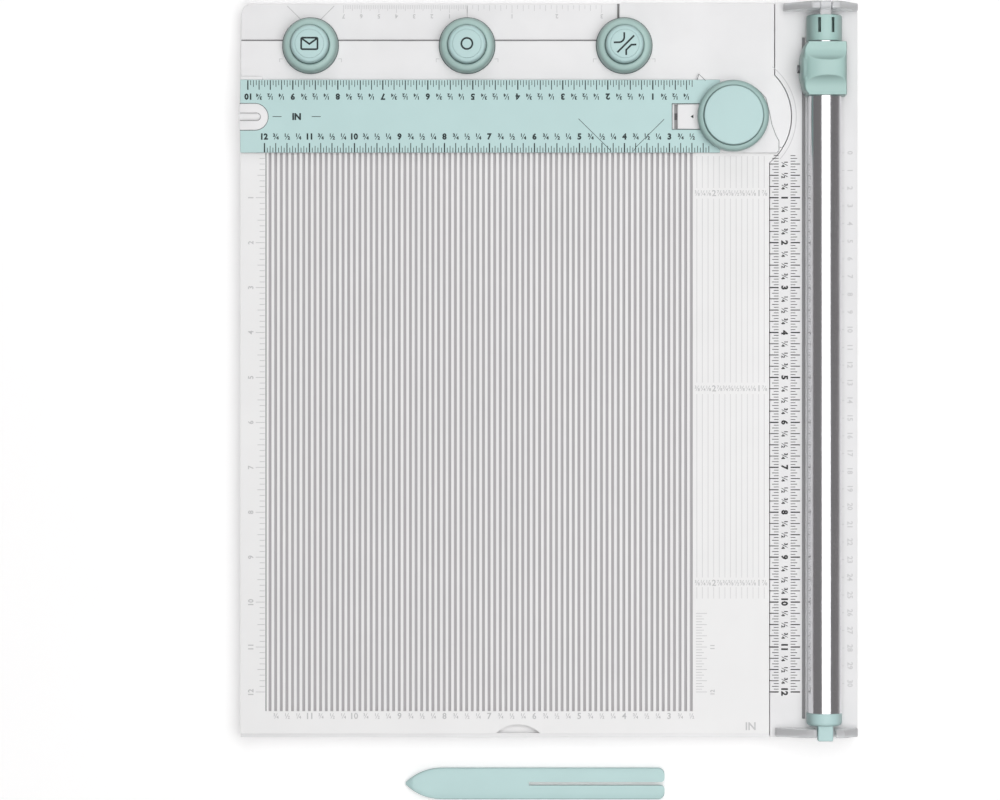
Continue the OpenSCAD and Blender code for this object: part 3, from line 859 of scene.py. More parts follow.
class Glyphs:
    """Numerals and signs as thin plates, taken from the built-in typeface and kept for reuse."""

    def __init__(self) -> None:
        """Starts with no glyph made."""
        self._flat: dict[tuple[str, Weight], tuple[np.ndarray, np.ndarray]] = {}

    def _outline(self, text: str, weight: Weight) -> tuple[np.ndarray, np.ndarray]:
        """Points and triangles of a flat text, centred, with numerals one unit tall.

        Args:
            text: Numerals or signs.
            weight: Stroke weight.

        Returns:
            Rows of x and y, and rows of three corner numbers.
        """
        if (text, weight) not in self._flat:
            curve = bpy.data.curves.new("glyph", "FONT")
            curve.body = text
            curve.resolution_u = 2
            curve.offset = weight.value
            item = bpy.data.objects.new("glyph", curve)
            bpy.context.scene.collection.objects.link(item)
            bpy.context.view_layer.update()
            mesh = bpy.data.meshes.new_from_object(item.evaluated_get(bpy.context.evaluated_depsgraph_get()))
            points = np.empty(len(mesh.vertices) * 3)
            mesh.vertices.foreach_get("co", points)
            mesh.calc_loop_triangles()
            corners = np.empty(len(mesh.loop_triangles) * 3, int)
            mesh.loop_triangles.foreach_get("vertices", corners)
            bpy.data.meshes.remove(mesh)
            bpy.data.objects.remove(item)
            bpy.data.curves.remove(curve)
            points = points.reshape(-1, 3)[:, :2]
            points -= (points.min(0) + points.max(0)) / 2
            self._flat[text, weight] = (points / 0.72, corners.reshape(-1, 3))
        return self._flat[text, weight]

    def plate(self, text: str, height: float, z0: float, z1: float, weight: Weight = Weight.REGULAR) -> Surface:
        """A text as a plate: the flat triangles at both heights, with a wall along each outer edge.

        Args:
            text: Numerals or signs.
            height: Height of a numeral in millimetres.
            z0: Height of the underside.
            z1: Height of the top.
            weight: Stroke weight.

        Returns:
            The closed plate, centred on the origin.
        """
        flat, triangles = self._outline(text, weight)
        count = len(flat)
        points = np.concatenate([np.c_[flat * height, np.full(count, z1)], np.c_[flat * height, np.full(count, z0)]])
        edges = np.concatenate([triangles[:, [0, 1]], triangles[:, [1, 2]], triangles[:, [2, 0]]])
        _, place, times = np.unique(np.sort(edges, 1), axis=0, return_index=True, return_counts=True)
        rim = edges[place[times == 1]]
        wall = np.stack([rim[:, 1], rim[:, 0], rim[:, 0] + count, rim[:, 1] + count], 1)
        return Surface(points, [triangles, triangles[:, ::-1] + count, wall])

    def fraction(self, top: int, bottom: int, height: float, z0: float, z1: float,
                 weight: Weight = Weight.REGULAR) -> Surface:
        """A fraction with a slanting bar: the numerator up on the left, the denominator down on the right.

        Args:
            top: Numerator.
            bottom: Denominator.
            height: Height of the whole sign in millimetres.
            z0: Height of the underside.
            z1: Height of the top.
            weight: Stroke weight.

        Returns:
            The closed plates, centred on the origin.
        """
        digit, reach = 0.56 * height, 0.3 * height
        return Surface.joined([
            self.plate(str(top), digit, z0, z1, weight).moved((-reach, 0.23 * height, 0)),
            self.plate(str(bottom), digit, z0, z1, weight).moved((reach, -0.23 * height, 0)),
            stroke(np.array([[-0.26, -0.5], [0.26, 0.5]]) * height, 0.1 * height, z0, z1)])


GLYPHS = Glyphs()
QUARTERS = {1: (1, 4), 2: (1, 2), 3: (3, 4)}


def inch_label(quarter: int, tall: float, small: float, z0: float, z1: float) -> Surface:
    """Numeral of a whole inch, or the fraction for a quarter, a half or three quarters.

    Args:
        quarter: Place on the scale in quarter inches.
        tall: Height of a whole number.
        small: Height of a fraction.
        z0: Height of the underside.
        z1: Height of the top.

    Returns:
        The closed plates, centred on the origin.
    """
    if quarter % 4:
        return GLYPHS.fraction(*QUARTERS[quarter % 4], small, z0, z1, Weight.BOLD)
    return GLYPHS.plate(str(quarter // 4), tall, z0, z1, Weight.BOLD)


@dataclass
class Scale:
    """Tick marks of an inch scale in sixteenths.

    Attributes:
        long: Length of the whole and quarter ticks.
        medium: Length of the eighth ticks.
        short: Length of the sixteenth ticks.
        bold: Width of the whole-inch ticks.
        fine: Width of the sixteenth ticks.
    """

    long: float = 5.3
    medium: float = 3.7
    short: float = 2.7
    bold: float = 0.72
    fine: float = 0.36

    def ticks(self, first: int, last: int) -> tuple[np.ndarray, np.ndarray, np.ndarray]:
        """Distance from zero, length and width of each tick.

        Args:
            first: First sixteenth.
            last: Last sixteenth.

        Returns:
            Three arrays with one value for each tick.
        """
        step = np.arange(first, last + 1)
        length = np.select([step % 4 == 0, step % 2 == 0], [self.long, self.medium], self.short)
        width = np.select([step % 16 == 0, step % 8 == 0, step % 4 == 0], [self.bold, 0.56, 0.48], self.fine)
        return step * INCH / 16, length, width


# ---------------------------------------------------------------- base

@dataclass
class Housing:
    """Tray, deck, paper table, grooved panel, trimmer bed, feet and screws."""

    edge: float = 0.5
    fine_edge: float = 0.2

    def build(self) -> None:
        """Rounds the housing's edges and gives each node its finish."""
        softened("base_tray", Palette.WHITE, self.fine_edge, True)
        softened("rear_deck", Palette.WHITE, self.edge)
        softened("paper_table", Palette.WHITE, 0.35)
        # The trimmer bed takes a darker copy of the white plastic: painted shade.
        softened("trimmer_base", Palette.SHADED_BED_WHITE, self.fine_edge)
        softened("rubber_feet", Palette.RUBBER, 0.4)
        # The panel's finish paints shade on its groove floors.
        painted(Palette.PANEL, "scoring_panel")
        floor_z = low("scoring_panel")[2]
        pocket = slabs(np.array([[-30.4, -205.45, floor_z - 0.6, -4.6, -199.4, floor_z - 0.04]]))
        piece(pocket, "notch_floor", Palette.PANEL_EDGE, "base", Edge.CRISP)
        seal = slabs(np.array([[low("scoring_panel")[0] + 0.4, -205.55, 13.2, 124.3, -205.25, 13.9]]))
        piece(seal, "front_joint", Palette.PANEL_EDGE, "base", Edge.CRISP)
        painted(Palette.WHITE, "trimmer_floor", "pivot_post")
        painted(Palette.STRIP, "cutting_strip")
        painted(Palette.STEEL, "case_screws", "trimmer_screws", "pivot_washer", "pivot_screw")


@dataclass
class PanelMarks:
    """Moulded numerals and ticks on the panel, the rear table and the trimmer bed, painted grey as shade, with strips
    of painted shadow.
    """

    cut_x: float = field(default_factory=lambda: float(middle("cutting_strip")[0]))
    top: float = field(default_factory=lambda: float(high("scoring_panel")[2]))
    relief: float = 0.1
    zero_y: float = 122.75
    label: float = 3.0
    step_x: float = 39.75
    step_y: float = 186.0
    first_line: float = 83.575
    line_count: int = 13
    line_rows: tuple[Point, ...] = ((102.8, 120.9), (-7.2, 96.9), (-117.4, -13.6), (-129.3, -122.8))

    def _plate(self, text: str, height: float, weight: Weight = Weight.REGULAR) -> Surface:
        """A raised numeral on the panel."""
        return GLYPHS.plate(text, height, self.top - 0.02, self.top + self.relief, weight)

    def _eighths(self, step: int) -> Surface:
        """The numeral for a distance from the cut in eighths of an inch: whole inches, or just the fraction.

        Args:
            step: Distance from the cut in eighths of an inch.

        Returns:
            The raised numeral or fraction, centred on the origin.
        """
        if step % 8 == 0:
            return self._plate(str(step // 8), self.label * 1.15)
        bottom = 2 if step % 8 == 4 else 4 if step % 2 == 0 else 8
        return GLYPHS.fraction(step % 8 * bottom // 8, bottom, self.label, self.top - 0.02, self.top + self.relief)

    def columns(self) -> Surface:
        """Numerals under the grooves and in the rows that the fine lines leave open.

        Returns:
            All the plates as one surface.
        """
        foot = [self._eighths(k).moved((self.cut_x + 0.2 - k * INCH / 8, -195.6, 0)) for k in range(20, 96, 2)]
        rows = [self._eighths(k).moved((self.cut_x + 0.2 - k * INCH / 8, y, 0))
                for y in (100.0, -10.4, -120.3) for k in range(7, 20)]
        return Surface.joined(foot + rows)

    def margin(self) -> Surface:
        """Scale of eighths down the left margin and the short scale of sixteenths beside the fine lines.

        Returns:
            All the plates as one surface.
        """
        step = np.arange(0, 97)
        y = self.zero_y - step * INCH / 8
        reach = np.select([step % 8 == 0, step % 4 == 0], [5.2, 4.2], 3.0)
        z = np.ones(len(step)) * self.top
        left = slabs(np.stack([-160.6 - reach, y - 0.16, z - 0.02, np.full(len(step), -160.6), y + 0.16,
                               z + self.relief], 1))
        numerals = [self._plate(str(k), 3.0).turned(90).moved((-168.6, self.zero_y - k * INCH, 0))
                    for k in range(1, 13)]
        step = np.arange(164, 193)
        y = self.zero_y - step * INCH / 16
        reach = np.select([step % 4 == 0, step % 2 == 0], [6.2, 4.5], 3.4)
        z = np.ones(len(step)) * self.top
        right = slabs(np.stack([np.full(len(step), 83.1), y - 0.14, z - 0.02, 83.1 + reach, y + 0.14,
                                z + self.relief], 1))
        ends = [self._plate(text, 2.4).turned(90).moved((92.4, self.zero_y - k * INCH, 0))
                for text, k in (("11", 11), ("12", 12))]
        unit = self._plate("IN", 4.4).moved((114.0, -201.4, 0))
        return Surface.joined([left, right, unit, *numerals, *ends])

    def bed(self) -> Surface:
        """Centimetre scale along the trimmer's outer edge.

        Returns:
            All the plates as one surface.
        """
        top = float(high("trimmer_base")[2])
        y = self.zero_y - np.arange(0, 31) * 10.0
        z = np.ones(len(y)) * top
        ticks = slabs(np.stack([np.full(len(y), 165.6), y - 0.15, z - 0.02, np.full(len(y), 166.8), y + 0.15,
                                z + self.relief], 1))
        numerals = [GLYPHS.plate(str(k), 3.0, top - 0.02, top + self.relief).turned(-90).moved((170.2, place, 0))
                    for k, place in enumerate(y.tolist())]
        return Surface.joined([ticks, *numerals])

    def table(self) -> Surface:
        """Scale along the rear edge of the paper table, its guide lines and the arrows beside the punches.

        Returns:
            All the plates as one surface.
        """
        top = float(high("paper_table")[2])
        deck = float(high("rear_deck")[2])
        zero = float(middle("punch_collar_2")[0])
        low_z, high_z = top - 0.02, top + self.relief
        metric, eighths = np.arange(0, 71), np.arange(0, 25)
        left = zero - metric * 1.0
        right = zero + eighths * INCH / 8
        reach = np.concatenate([np.select([metric % 10 == 0, metric % 5 == 0], [4.4, 3.2], 2.2),
                                np.select([eighths % 8 == 0, eighths % 2 == 0], [4.4, 3.2], 2.2)])
        x = np.concatenate([left, right])
        end = np.full(len(x), 206.6)
        flat = np.ones(len(x))
        ticks = slabs(np.stack([x - 0.11, end - reach, flat * low_z, x + 0.11, end, flat * high_z], 1))
        numerals = [GLYPHS.plate(str(k), 2.4, low_z, high_z).turned(180).moved((zero - 10 * k, 200.3, 0))
                    for k in range(1, 8)]
        numerals += [GLYPHS.plate(str(k), 2.4, low_z, high_z).turned(180).moved((zero + INCH * k, 200.3, 0))
                     for k in range(1, 4)]
        slant = [stroke(np.array([[-148.2, 206.2], [-140.2, 198.2]]), 0.4, low_z, high_z),
                 stroke(np.array([[-121.6, 206.2], [-129.6, 198.2]]), 0.4, low_z, high_z),
                 stroke(np.array([[zero, 206.4], [zero, 199.2]]), 0.4, low_z, high_z)]
        arrows = [stroke(np.array([[-1.3, -0.7], [0, 0.7], [1.3, -0.7]]), 0.3, deck - 0.02, deck + 0.05)
                  .turned(-45 * side).moved((float(middle(f"punch_collar_{k}")[0]) + 17 * side, 175.4, 0))
                  for k in (1, 2, 3) for side in (-1, 1)]
        return Surface.joined([ticks, *numerals, *slant, *arrows])

    def seams(self) -> Surface:
        """Painted shadow: dark strips where the deck ends over the paper table.

        Returns:
            All the plates as one surface.
        """
        z0, z1 = high("paper_table")[2] - 0.02, high("paper_table")[2] + 0.05
        edge_x, edge_y, wide, clear = self.step_x, self.step_y, 1.1, 13.5
        centres = [float(middle(f"punch_collar_{k}")[0]) for k in (1, 2, 3)]
        starts = [float(low("base_tray")[0]) + 0.2, *(x + clear for x in centres[:-1])]
        rows = [[start, edge_y - 0.2, z0, x - clear, edge_y + wide, z1] for start, x in zip(starts, centres)]
        rise = middle("punch_collar_3")[1] + clear
        return slabs(np.array([*rows, [edge_x - wide, rise, z0, edge_x + 0.2, high("base_tray")[1] - 0.2, z1]]))

    def hairlines(self) -> Surface:
        """Floors of the fine upright lines between the grooves."""
        # Painted shade: grey slabs on the floors of the fine grooves.
        floor_z = self.top - 0.3
        return slabs(np.array([[x - 0.19, y0 + 0.05, floor_z - 0.05, x + 0.19, y1 - 0.05, floor_z + 0.2]
                               for x in (self.first_line + np.arange(self.line_count) * INCH / 8).tolist()
                               for y0, y1 in self.line_rows]))

    def last_line(self) -> Surface:
        """Floor of the deep line left of the last groove, dark with painted shadow."""
        floor_z = self.top - 0.4
        return slabs(np.array([[-160.24, -192.85, floor_z - 0.05, -159.76, self.zero_y, floor_z + 0.3]]))

    def lobe(self) -> Surface:
        """Faint raised line that runs round the arm's lobe on the trimmer bed.

        Returns:
            The closed surface.
        """
        z = float(high("trimmer_base")[2])
        centre = middle("knob_ring")
        return stroke(arc((centre[0], centre[1]), 36.0, -42, 51, 60), 0.45, z - 0.02, z + 0.08)

    def build(self) -> None:
        """Makes every moulded mark on the base."""
        # Painted shadow strips, and marks painted grey as shade.
        piece(self.seams(), "table_painted_shadow", Palette.PAINTED_SHADOW_STRIP, "base", Edge.CRISP)
        piece(self.lobe(), "lobe_line", Palette.SHADED_FAINT_MARK, "base", Edge.CRISP)
        piece(self.hairlines(), "panel_hairlines", Palette.SHADED_HAIRLINE, "base", Edge.CRISP)
        piece(self.last_line(), "panel_last_line", Palette.DEEP_PAINTED_SHADOW, "base", Edge.CRISP)
        piece(self.columns(), "panel_numerals", Palette.SHADED_MOULDED_MARK, "base", Edge.CRISP)
        piece(self.margin(), "panel_margin_scale", Palette.SHADED_MOULDED_MARK, "base", Edge.CRISP)
        piece(self.bed(), "bed_centimetres", Palette.SHADED_FAINT_MARK, "base", Edge.CRISP)
        piece(self.table(), "table_scale", Palette.SHADED_MOULDED_MARK, "base", Edge.CRISP)


@dataclass
class BedScale:
    """Printed inch scale on the trimmer bed: ticks on both sides of a column of numerals."""

    left_x: float = 129.8
    right_x: float = 136.6
    zero_y: float = 122.75
    film: float = 0.05
    scale: Scale = field(default_factory=Scale)

    def build(self) -> None:
        """Prints the scale."""
        top = float(high("trimmer_base")[2])
        z0, z1 = top - 0.02, top + self.film
        place, length, width = self.scale.ticks(1, 192)
        y = self.zero_y - place
        flat = np.ones(len(y))
        left = slabs(np.stack([self.left_x - length, y - width / 2, flat * z0, flat * self.left_x, y + width / 2,
                               flat * z1], 1))
        right = slabs(np.stack([flat * self.right_x, y - width / 2, flat * z0, self.right_x + length, y + width / 2,
                                flat * z1], 1))
        middle_x = (self.left_x + self.right_x) / 2
        numerals = [inch_label(k, 3.5, 3.4, z0, z1).turned(-90).moved((middle_x, self.zero_y - k * INCH / 4, 0))
                    for k in range(1, 49)]
        piece(Surface.joined([left, right, *numerals]), "bed_inch_scale", Palette.DARK_INK, "base", Edge.CRISP)


# ---------------------------------------------------------------- corner and slot punches

class Icon(Enum):
    """Sign on a punch button."""

    ENVELOPE = 1
    RING = 2
    FOLD = 3


@dataclass
class Punch:
    """A punch: moulded collar, domed button, return spring and the sign on the button.

    Attributes:
        number: Number of the punch, from the left.
        icon: Its sign.
    """

    number: int
    icon: Icon
    collar_r: float = 15.7
    bore_r: float = 10.85
    shoulder: float = 3.4
    button_r: float = 10.75
    crown: float = 2.2
    line: float = 1.0

    @property
    def centre(self) -> np.ndarray:
        """Centre of the punch on the base's plane."""
        return middle(f"punch_collar_{self.number}") * (1, 1, 0)

    def collar(self) -> Surface:
        """Ring with a wide outer shoulder and a tight inner one, turned about the punch's axis.

        Returns:
            The closed surface.
        """
        z0, z1 = low(f"punch_collar_{self.number}")[2], high(f"punch_collar_{self.number}")[2]
        inner = 0.9
        profile = np.concatenate([
            [[self.bore_r, z0], [self.bore_r, z1 - inner - 1]],
            arc((self.bore_r + inner, z1 - inner), inner, 180, 90, 7),
            arc((self.collar_r - 0.35 - self.shoulder, z1 - self.shoulder), self.shoulder, 90, 5, 12),
            [[self.collar_r - 0.3, z0 + 1.25], [self.collar_r, z0 + 1.0], [self.collar_r, z0 + 0.15],
             [self.collar_r - 0.15, z0]]])
        return lathe(profile, self.centre)

    def gap(self) -> Surface:
        """Painted shadow in the narrow joint between the collar and the deck, as a dark flat ring.

        Returns:
            The closed surface.
        """
        z = low(f"punch_collar_{self.number}")[2]
        inner, outer = self.collar_r - 0.1, self.collar_r + 0.35
        z0, z1 = z - 0.02, z + 0.03
        return lathe(np.array([[inner, z0], [outer, z0], [outer, z1], [inner, z1]]), self.centre)

    def button(self) -> Surface:
        """Domed cap with a stepped rim and a fine ring on top, open underneath.

        Returns:
            The closed surface.
        """
        z0, z1 = low(f"punch_button_{self.number}")[2], high(f"punch_button_{self.number}")[2] - 0.06
        top_r, wall_r, roof = 8.2, 9.45, z1 - 2
        profile = np.concatenate([
            [[0, roof]], arc((wall_r - 0.6, roof - 0.6), 0.6, 90, 0, 5), [[wall_r, z0], [self.button_r - 0.2, z0]],
            [[self.button_r, z0 + 0.2], [self.button_r, z1 - self.crown - 0.5]],
            arc((self.button_r - self.crown, z1 - self.crown - 0.3), (self.crown, self.crown), 0, 82, 10),
            [[top_r + 0.12, z1 - 0.24], [top_r + 0.02, z1 - 0.34]],
            [[top_r - 0.12, z1 - 0.34], [top_r - 0.3, z1 - 0.05]],
            [[top_r - 0.6, z1], [top_r * 0.6, z1 - 0.02], [0, z1 - 0.04]]])
        return lathe(profile, self.centre)

    def spring(self) -> Surface:
        """Round wire on a helix: a circle carried along (R cos a, R sin a, pitch a), with closed ends.

        Returns:
            The closed surface.
        """
        z0, z1 = low(f"punch_spring_{self.number}")[2], high(f"punch_spring_{self.number}")[2]
        wire, coil_r, turns = 0.5, 8.0, 4
        a = np.linspace(0, 2 * np.pi * turns, turns * 28 + 1)[:, None]
        b = np.linspace(0, 2 * np.pi, 8, endpoint=False)[None, :]
        rise = z0 + wire + (z1 - z0 - 2 * wire) * a / a[-1]
        r = coil_r + wire * np.cos(b)
        rings = np.stack([r * np.cos(a), r * np.sin(a), rise + wire * np.sin(b)], -1)
        return loft(rings + self.centre)

    def sign(self) -> Surface:
        """The sign as raised lines of even width.

        Returns:
            The closed surface.
        """
        z = high(f"punch_button_{self.number}")[2]
        z0, z1 = z - 0.2, z
        if self.icon is Icon.ENVELOPE:
            half = np.array([4.6, 3.25])
            corner = 0.8
            frame_line = np.concatenate([arc(half * s - corner * np.array(s), corner, a, a + 75, 6)
                                         for s, a in (((1, 1), 0), ((-1, 1), 90), ((-1, -1), 180), ((1, -1), 270))])
            flap = np.array([[-4.3, 2.85], [0, -0.3], [4.3, 2.85]])
            marks = [stroke(frame_line, self.line, z0, z1, True), stroke(flap, self.line, z0, z1)]
        elif self.icon is Icon.RING:
            marks = [stroke(arc((0, 0), 3.1, 0, 352.5, 48), self.line, z0, z1, True)]
        else:
            hook = np.concatenate([[[-0.4, 6.3]], arc((-3.3, 3.6), 2.9, 0, -90, 9), [[-6.3, 0.6]]])
            elbow = np.array([[6.4, -0.6], [3.6, -0.7], [0.7, -3.6], [0.7, -6.5]])
            slash = np.array([[-4.3, -5.0], [5.2, 4.5]])
            marks = [stroke(path, self.line, z0, z1) for path in (slash, hook, elbow)]
        return Surface.joined(marks).moved(self.centre)

    def build(self) -> None:
        """Makes and dresses the punch."""
        k = self.number
        # The collar takes a darker copy of the mint: painted shade.
        collar = piece(self.collar(), f"collar_{k}", Palette.SHADED_COLLAR_MINT, "base")
        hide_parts(f"punch_collar_{k}")
        # Dark ring of painted shadow round the collar's foot.
        piece(self.gap(), f"collar_gap_{k}", Palette.COLLAR_PAINTED_SHADOW, "base", Edge.CRISP)
        button = piece(self.button(), f"button_{k}", Palette.MINT, f"punch_{k}", Edge.CRISP)
        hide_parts(f"punch_button_{k}")
        spring = piece(self.spring(), f"return_spring_{k}", Palette.SPRING, "base")
        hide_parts(f"punch_spring_{k}")
        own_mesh(spring)
        piece(self.sign(), f"button_sign_{k}", Palette.MINT_INK, f"punch_{k}", Edge.CRISP)
        painted(Palette.STEEL, f"punch_die_{k}", f"punch_blade_{k}")


# ---------------------------------------------------------------- ruler arm

@dataclass
class RulerArm:
    """Swivelling arm: carrier, printed ruler plate, finger tab, rivets and guide lines."""

    cut_x: float = field(default_factory=lambda: float(middle("cutting_strip")[0]))
    top: float = field(default_factory=lambda: float(high("ruler_plate")[2]))
    film: float = 0.05
    scale: Scale = field(default_factory=Scale)

    def scales(self) -> Surface:
        """Upper scale read from behind and lower scale read from the front, both as printed film.

        Returns:
            All the plates as one surface.
        """
        z0, z1 = self.top - 0.02, self.top + self.film
        rear, front = high("ruler_plate")[1] - 0.4, low("ruler_plate")[1] + 0.1
        upper_zero, lower_zero = 83.95, self.cut_x + 0.25
        place, length, width = self.scale.ticks(2, 16 * 10)
        x = upper_zero - place
        flat = np.ones(len(x))
        upper = slabs(np.stack([x - width / 2, rear - length, flat * z0, x + width / 2, flat * rear, flat * z1], 1))
        place, length, width = self.scale.ticks(34, 16 * 12)
        x = lower_zero - place
        flat = np.ones(len(x))
        lower = slabs(np.stack([x - width / 2, flat * front, flat * z0, x + width / 2, front + length, flat * z1], 1))
        numerals = [inch_label(k, 3.3, 3.3, z0, z1).turned(180).moved((upper_zero - k * INCH / 4, rear - 9.2, 0))
                    for k in range(1, 41)]
        numerals += [inch_label(k, 3.3, 3.3, z0, z1).moved((lower_zero - k * INCH / 4, front + 9.0, 0))
                     for k in range(10, 49)]
        return Surface.joined([upper, lower, *numerals])

    def guides(self) -> Surface:
        """Slanting guide lines and the unit sign between two dashes.

        Returns:
            All the plates as one surface.
        """
        z0, z1 = self.top - 0.02, self.top + self.film
        lines = [stroke(np.array([[16.6, 141.8], [33.0, 125.6], [35.2, 123.3]]), 0.3, z0, z1),
                 stroke(np.array([[65.0, 141.5], [48.9, 125.6], [47.8, 123.5]]), 0.3, z0, z1),
                 stroke(np.array([[-156.1, 143.0], [-151.0, 143.0]]), 0.35, z0, z1),
                 stroke(np.array([[-134.0, 143.0], [-128.9, 143.0]]), 0.35, z0, z1)]
        unit = GLYPHS.plate("IN", 3.6, z0, z1, Weight.BOLD).moved((-142.5, 143.0, 0))
        return Surface.joined([*lines, unit])

    def joints(self) -> Surface:
        """Painted shadow lines round the finger tab, along the tail and at the window's edge.

        Returns:
            All the plates as one surface.
        """
        z0, z1 = self.top - 0.02, self.top + 0.03
        a, b = low("finger_tab"), high("finger_tab")
        radius, mid = (b[1] - a[1]) / 2 + 0.1, (a[1] + b[1]) / 2
        end = arc((b[0] - radius + 0.1, mid), radius, 90, -90, 25)
        tab = np.concatenate([[[a[0] + 0.3, mid + radius]], end, [[a[0] + 0.3, mid - radius]]])
        tail = np.array([[128.8, 122.95], [129.75, 123.7], [129.75, 129.3], [128.1, 132.2], [125.8, 138.4],
                         [124.3, 146.0], [122.4, 153.5], [119.6, 156.6], [116.8, 159.2]])
        fin = np.array([[88.4, 163.3], [84.6, 166.9], [83.7, 163.6]])
        window = low("lock_slider")
        left_x = 69.5
        frame_line = np.array([[88.0, high("lock_slider")[1] + 0.25], [left_x, high("lock_slider")[1] + 0.25],
                               [left_x, window[1] - 0.25], [88.0, window[1] - 0.25]])
        return Surface.joined([stroke(tab, 0.42, z0, z1), stroke(tail, 0.26, z0, z1), stroke(fin, 0.26, z0, z1),
                               stroke(frame_line, 0.3, z0, z1)])

    def tab_shadow(self) -> Surface:
        """Painted shadow: a soft dark line on the finger tab, round the foot of its ridge.

        Returns:
            The closed surface.
        """
        a, b = low("finger_tab"), high("finger_tab")
        mid, z = (a[1] + b[1]) / 2, self.top + 0.45
        half, left_x = 2.1, a[0] + 0.6
        end = arc((-165.0, mid), half, 90, -90, 13)
        path = np.concatenate([[[left_x, mid + half]], end, [[left_x, mid - half]]])
        return stroke(path, 0.5, z - 0.02, z + 0.03)

    def tab(self) -> Surface:
        """Finger tab with a round inner end, and a half-round ridge that runs in from its outer edge.

        Returns:
            The closed surface.
        """
        a, b = low("finger_tab"), high("finger_tab")
        radius, mid = (b[1] - a[1]) / 2, (a[1] + b[1]) / 2
        turn = np.linspace(0, np.pi / 2, 5)
        z0, z1, edge = a[2], self.top + 0.45, 0.4
        inset = np.concatenate([[edge, 0], edge * (1 - np.cos(turn))])
        height = np.concatenate([[z0, z0 + edge], z1 - edge * (1 - np.sin(turn))])

        def outline(shrink: float) -> np.ndarray:
            """Plan of the tab, drawn in by a margin.

            Args:
                shrink: Margin in millimetres.

            Returns:
                Rows of x and y.
            """
            r = radius - shrink
            end = arc((b[0] - radius, mid), r, -90, 90, 25)
            left = arc((a[0] + 1.2 + shrink, mid + r - 1.2), 1.2, 90, 180, 5)
            return np.concatenate([end, left, left[::-1] * (1, -1) + (0, 2 * mid)])

        rings = np.stack([np.c_[outline(float(m)), np.full(35, h)] for m, h in zip(inset, height)])
        t = np.linspace(0, np.pi, 13)
        x = np.concatenate([[a[0] + 0.05, a[0] + 0.3], np.linspace(a[0] + 2, -165.0, 8),
                            -165.0 + 2.0 * np.sin(turn[1:])])
        size = np.concatenate([[0.85, 1.0], np.ones(8), np.maximum(np.cos(turn[1:]), 0.05)])[:, None]
        y = mid + 2.0 * size * np.cos(t)
        z = z1 - 0.1 + (b[2] - z1 + 0.1) * size * np.sin(t)
        ridge = np.stack([np.broadcast_to(x[:, None], y.shape), y, z], -1)
        return Surface.joined([loft(rings), loft(ridge)])

    def rivets(self) -> Surface:
        """Flush rivets: plain pins with a small chamfer, level with the ruler plate.

        Returns:
            The closed surface.
        """
        a, b = low("arm_rivets"), high("arm_rivets")
        r, mid_y = (b[1] - a[1]) / 2, (a[1] + b[1]) / 2
        profile = np.array([[0, a[2]], [r, a[2]], [r, b[2] - 0.05], [r - 0.05, b[2]], [0, b[2]]])
        return Surface.joined([lathe(profile, (x, mid_y, 0), 32) for x in (a[0] + r, -20.0, b[0] - r)])

    def cover_film(self) -> Surface:
        """Thin film along the middle of the plate that hides the rivets.

        Returns:
            The closed surface.
        """
        a, b = low("arm_rivets"), high("arm_rivets")
        margin = 1.5
        return slabs(np.array([[a[0] - margin, a[1] - margin, self.top - 0.02,
                                b[0] + margin, b[1] + margin, self.top + 0.03]]))

    def build(self) -> None:
        """Makes and dresses the arm."""
        piece(self.cover_film(), "plate_film", Palette.MINT, "arm", Edge.CRISP)
        softened("arm_carrier", Palette.WHITE, 0.3)
        softened("ruler_plate", Palette.MINT, 0.3, flat=True)
        piece(self.scales(), "ruler_scales", Palette.MINT_INK, "arm", Edge.CRISP)
        piece(self.guides(), "ruler_guides", Palette.MINT_INK, "arm", Edge.CRISP)
        # Painted shadow lines on the arm.
        piece(self.joints(), "arm_painted_shadow_lines", Palette.DEEP_PAINTED_SHADOW, "arm", Edge.CRISP)
        tab = piece(self.tab(), "tab_grip", Palette.WHITE, "arm", Edge.CRISP)
        piece(self.tab_shadow(), "tab_ridge_line", Palette.PAINTED_SHADOW_STRIP, "arm", Edge.CRISP)
        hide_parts("finger_tab")
        rivets = piece(self.rivets(), "rivet_heads", Palette.MINT, "arm", Edge.CRISP)
        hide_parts("arm_rivets")


@dataclass
class Knob:
    """Pivot knob: ring in a darker copy of the mint, as painted shade, with a lighter flat cap."""

    shoulder: float = 2.6
    cap_edge: float = 0.9

    def ring(self) -> Surface:
        """Ring with a round outer shoulder and a step that the cap sits in.

        Returns:
            The closed surface.
        """
        a, b = low("knob_ring"), high("knob_ring")
        outer = (b[0] - a[0]) / 2
        step_r, hollow, step_z = 16.85, 13.0, low("knob_cap")[2]
        profile = np.concatenate([
            [[hollow, a[2]], [hollow, step_z], [step_r, step_z], [step_r, b[2] - 0.35], [step_r + 0.3, b[2] - 0.05]],
            arc((outer - self.shoulder, b[2] - self.shoulder), self.shoulder, 90, 4, 12),
            [[outer, b[2] - self.shoulder - 1.2], [outer, a[2] + 0.35], [outer - 0.35, a[2]]]])
        return lathe(profile, middle("knob_ring") * (1, 1, 0), 144)

    def cap(self) -> Surface:
        """Flat cap with a soft edge and a very slight crown, turned about the knob's axis.

        Returns:
            The closed surface.
        """
        a, b = low("knob_cap"), high("knob_cap")
        r = (b[0] - a[0]) / 2
        profile = np.concatenate([
            [[0, a[2]], [r - 0.3, a[2]], [r, a[2] + 0.3], [r, b[2] - self.cap_edge - 1.2]],
            arc((r - self.cap_edge, b[2] - self.cap_edge - 0.15), self.cap_edge, 0, 84, 10),
            [[r * 0.7, b[2] - 0.06], [r * 0.3, b[2] - 0.01], [0, b[2]]]])
        return lathe(profile, middle("knob_cap") * (1, 1, 0), 144)

    def build(self) -> None:
        """Makes and dresses the knob."""
        ring = piece(self.ring(), "pivot_ring", Palette.MINT_SHADE, body_of("knob_ring"))
        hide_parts("knob_ring")
        cap = piece(self.cap(), "pivot_cap", Palette.MINT, body_of("knob_cap"))
        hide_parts("knob_cap")


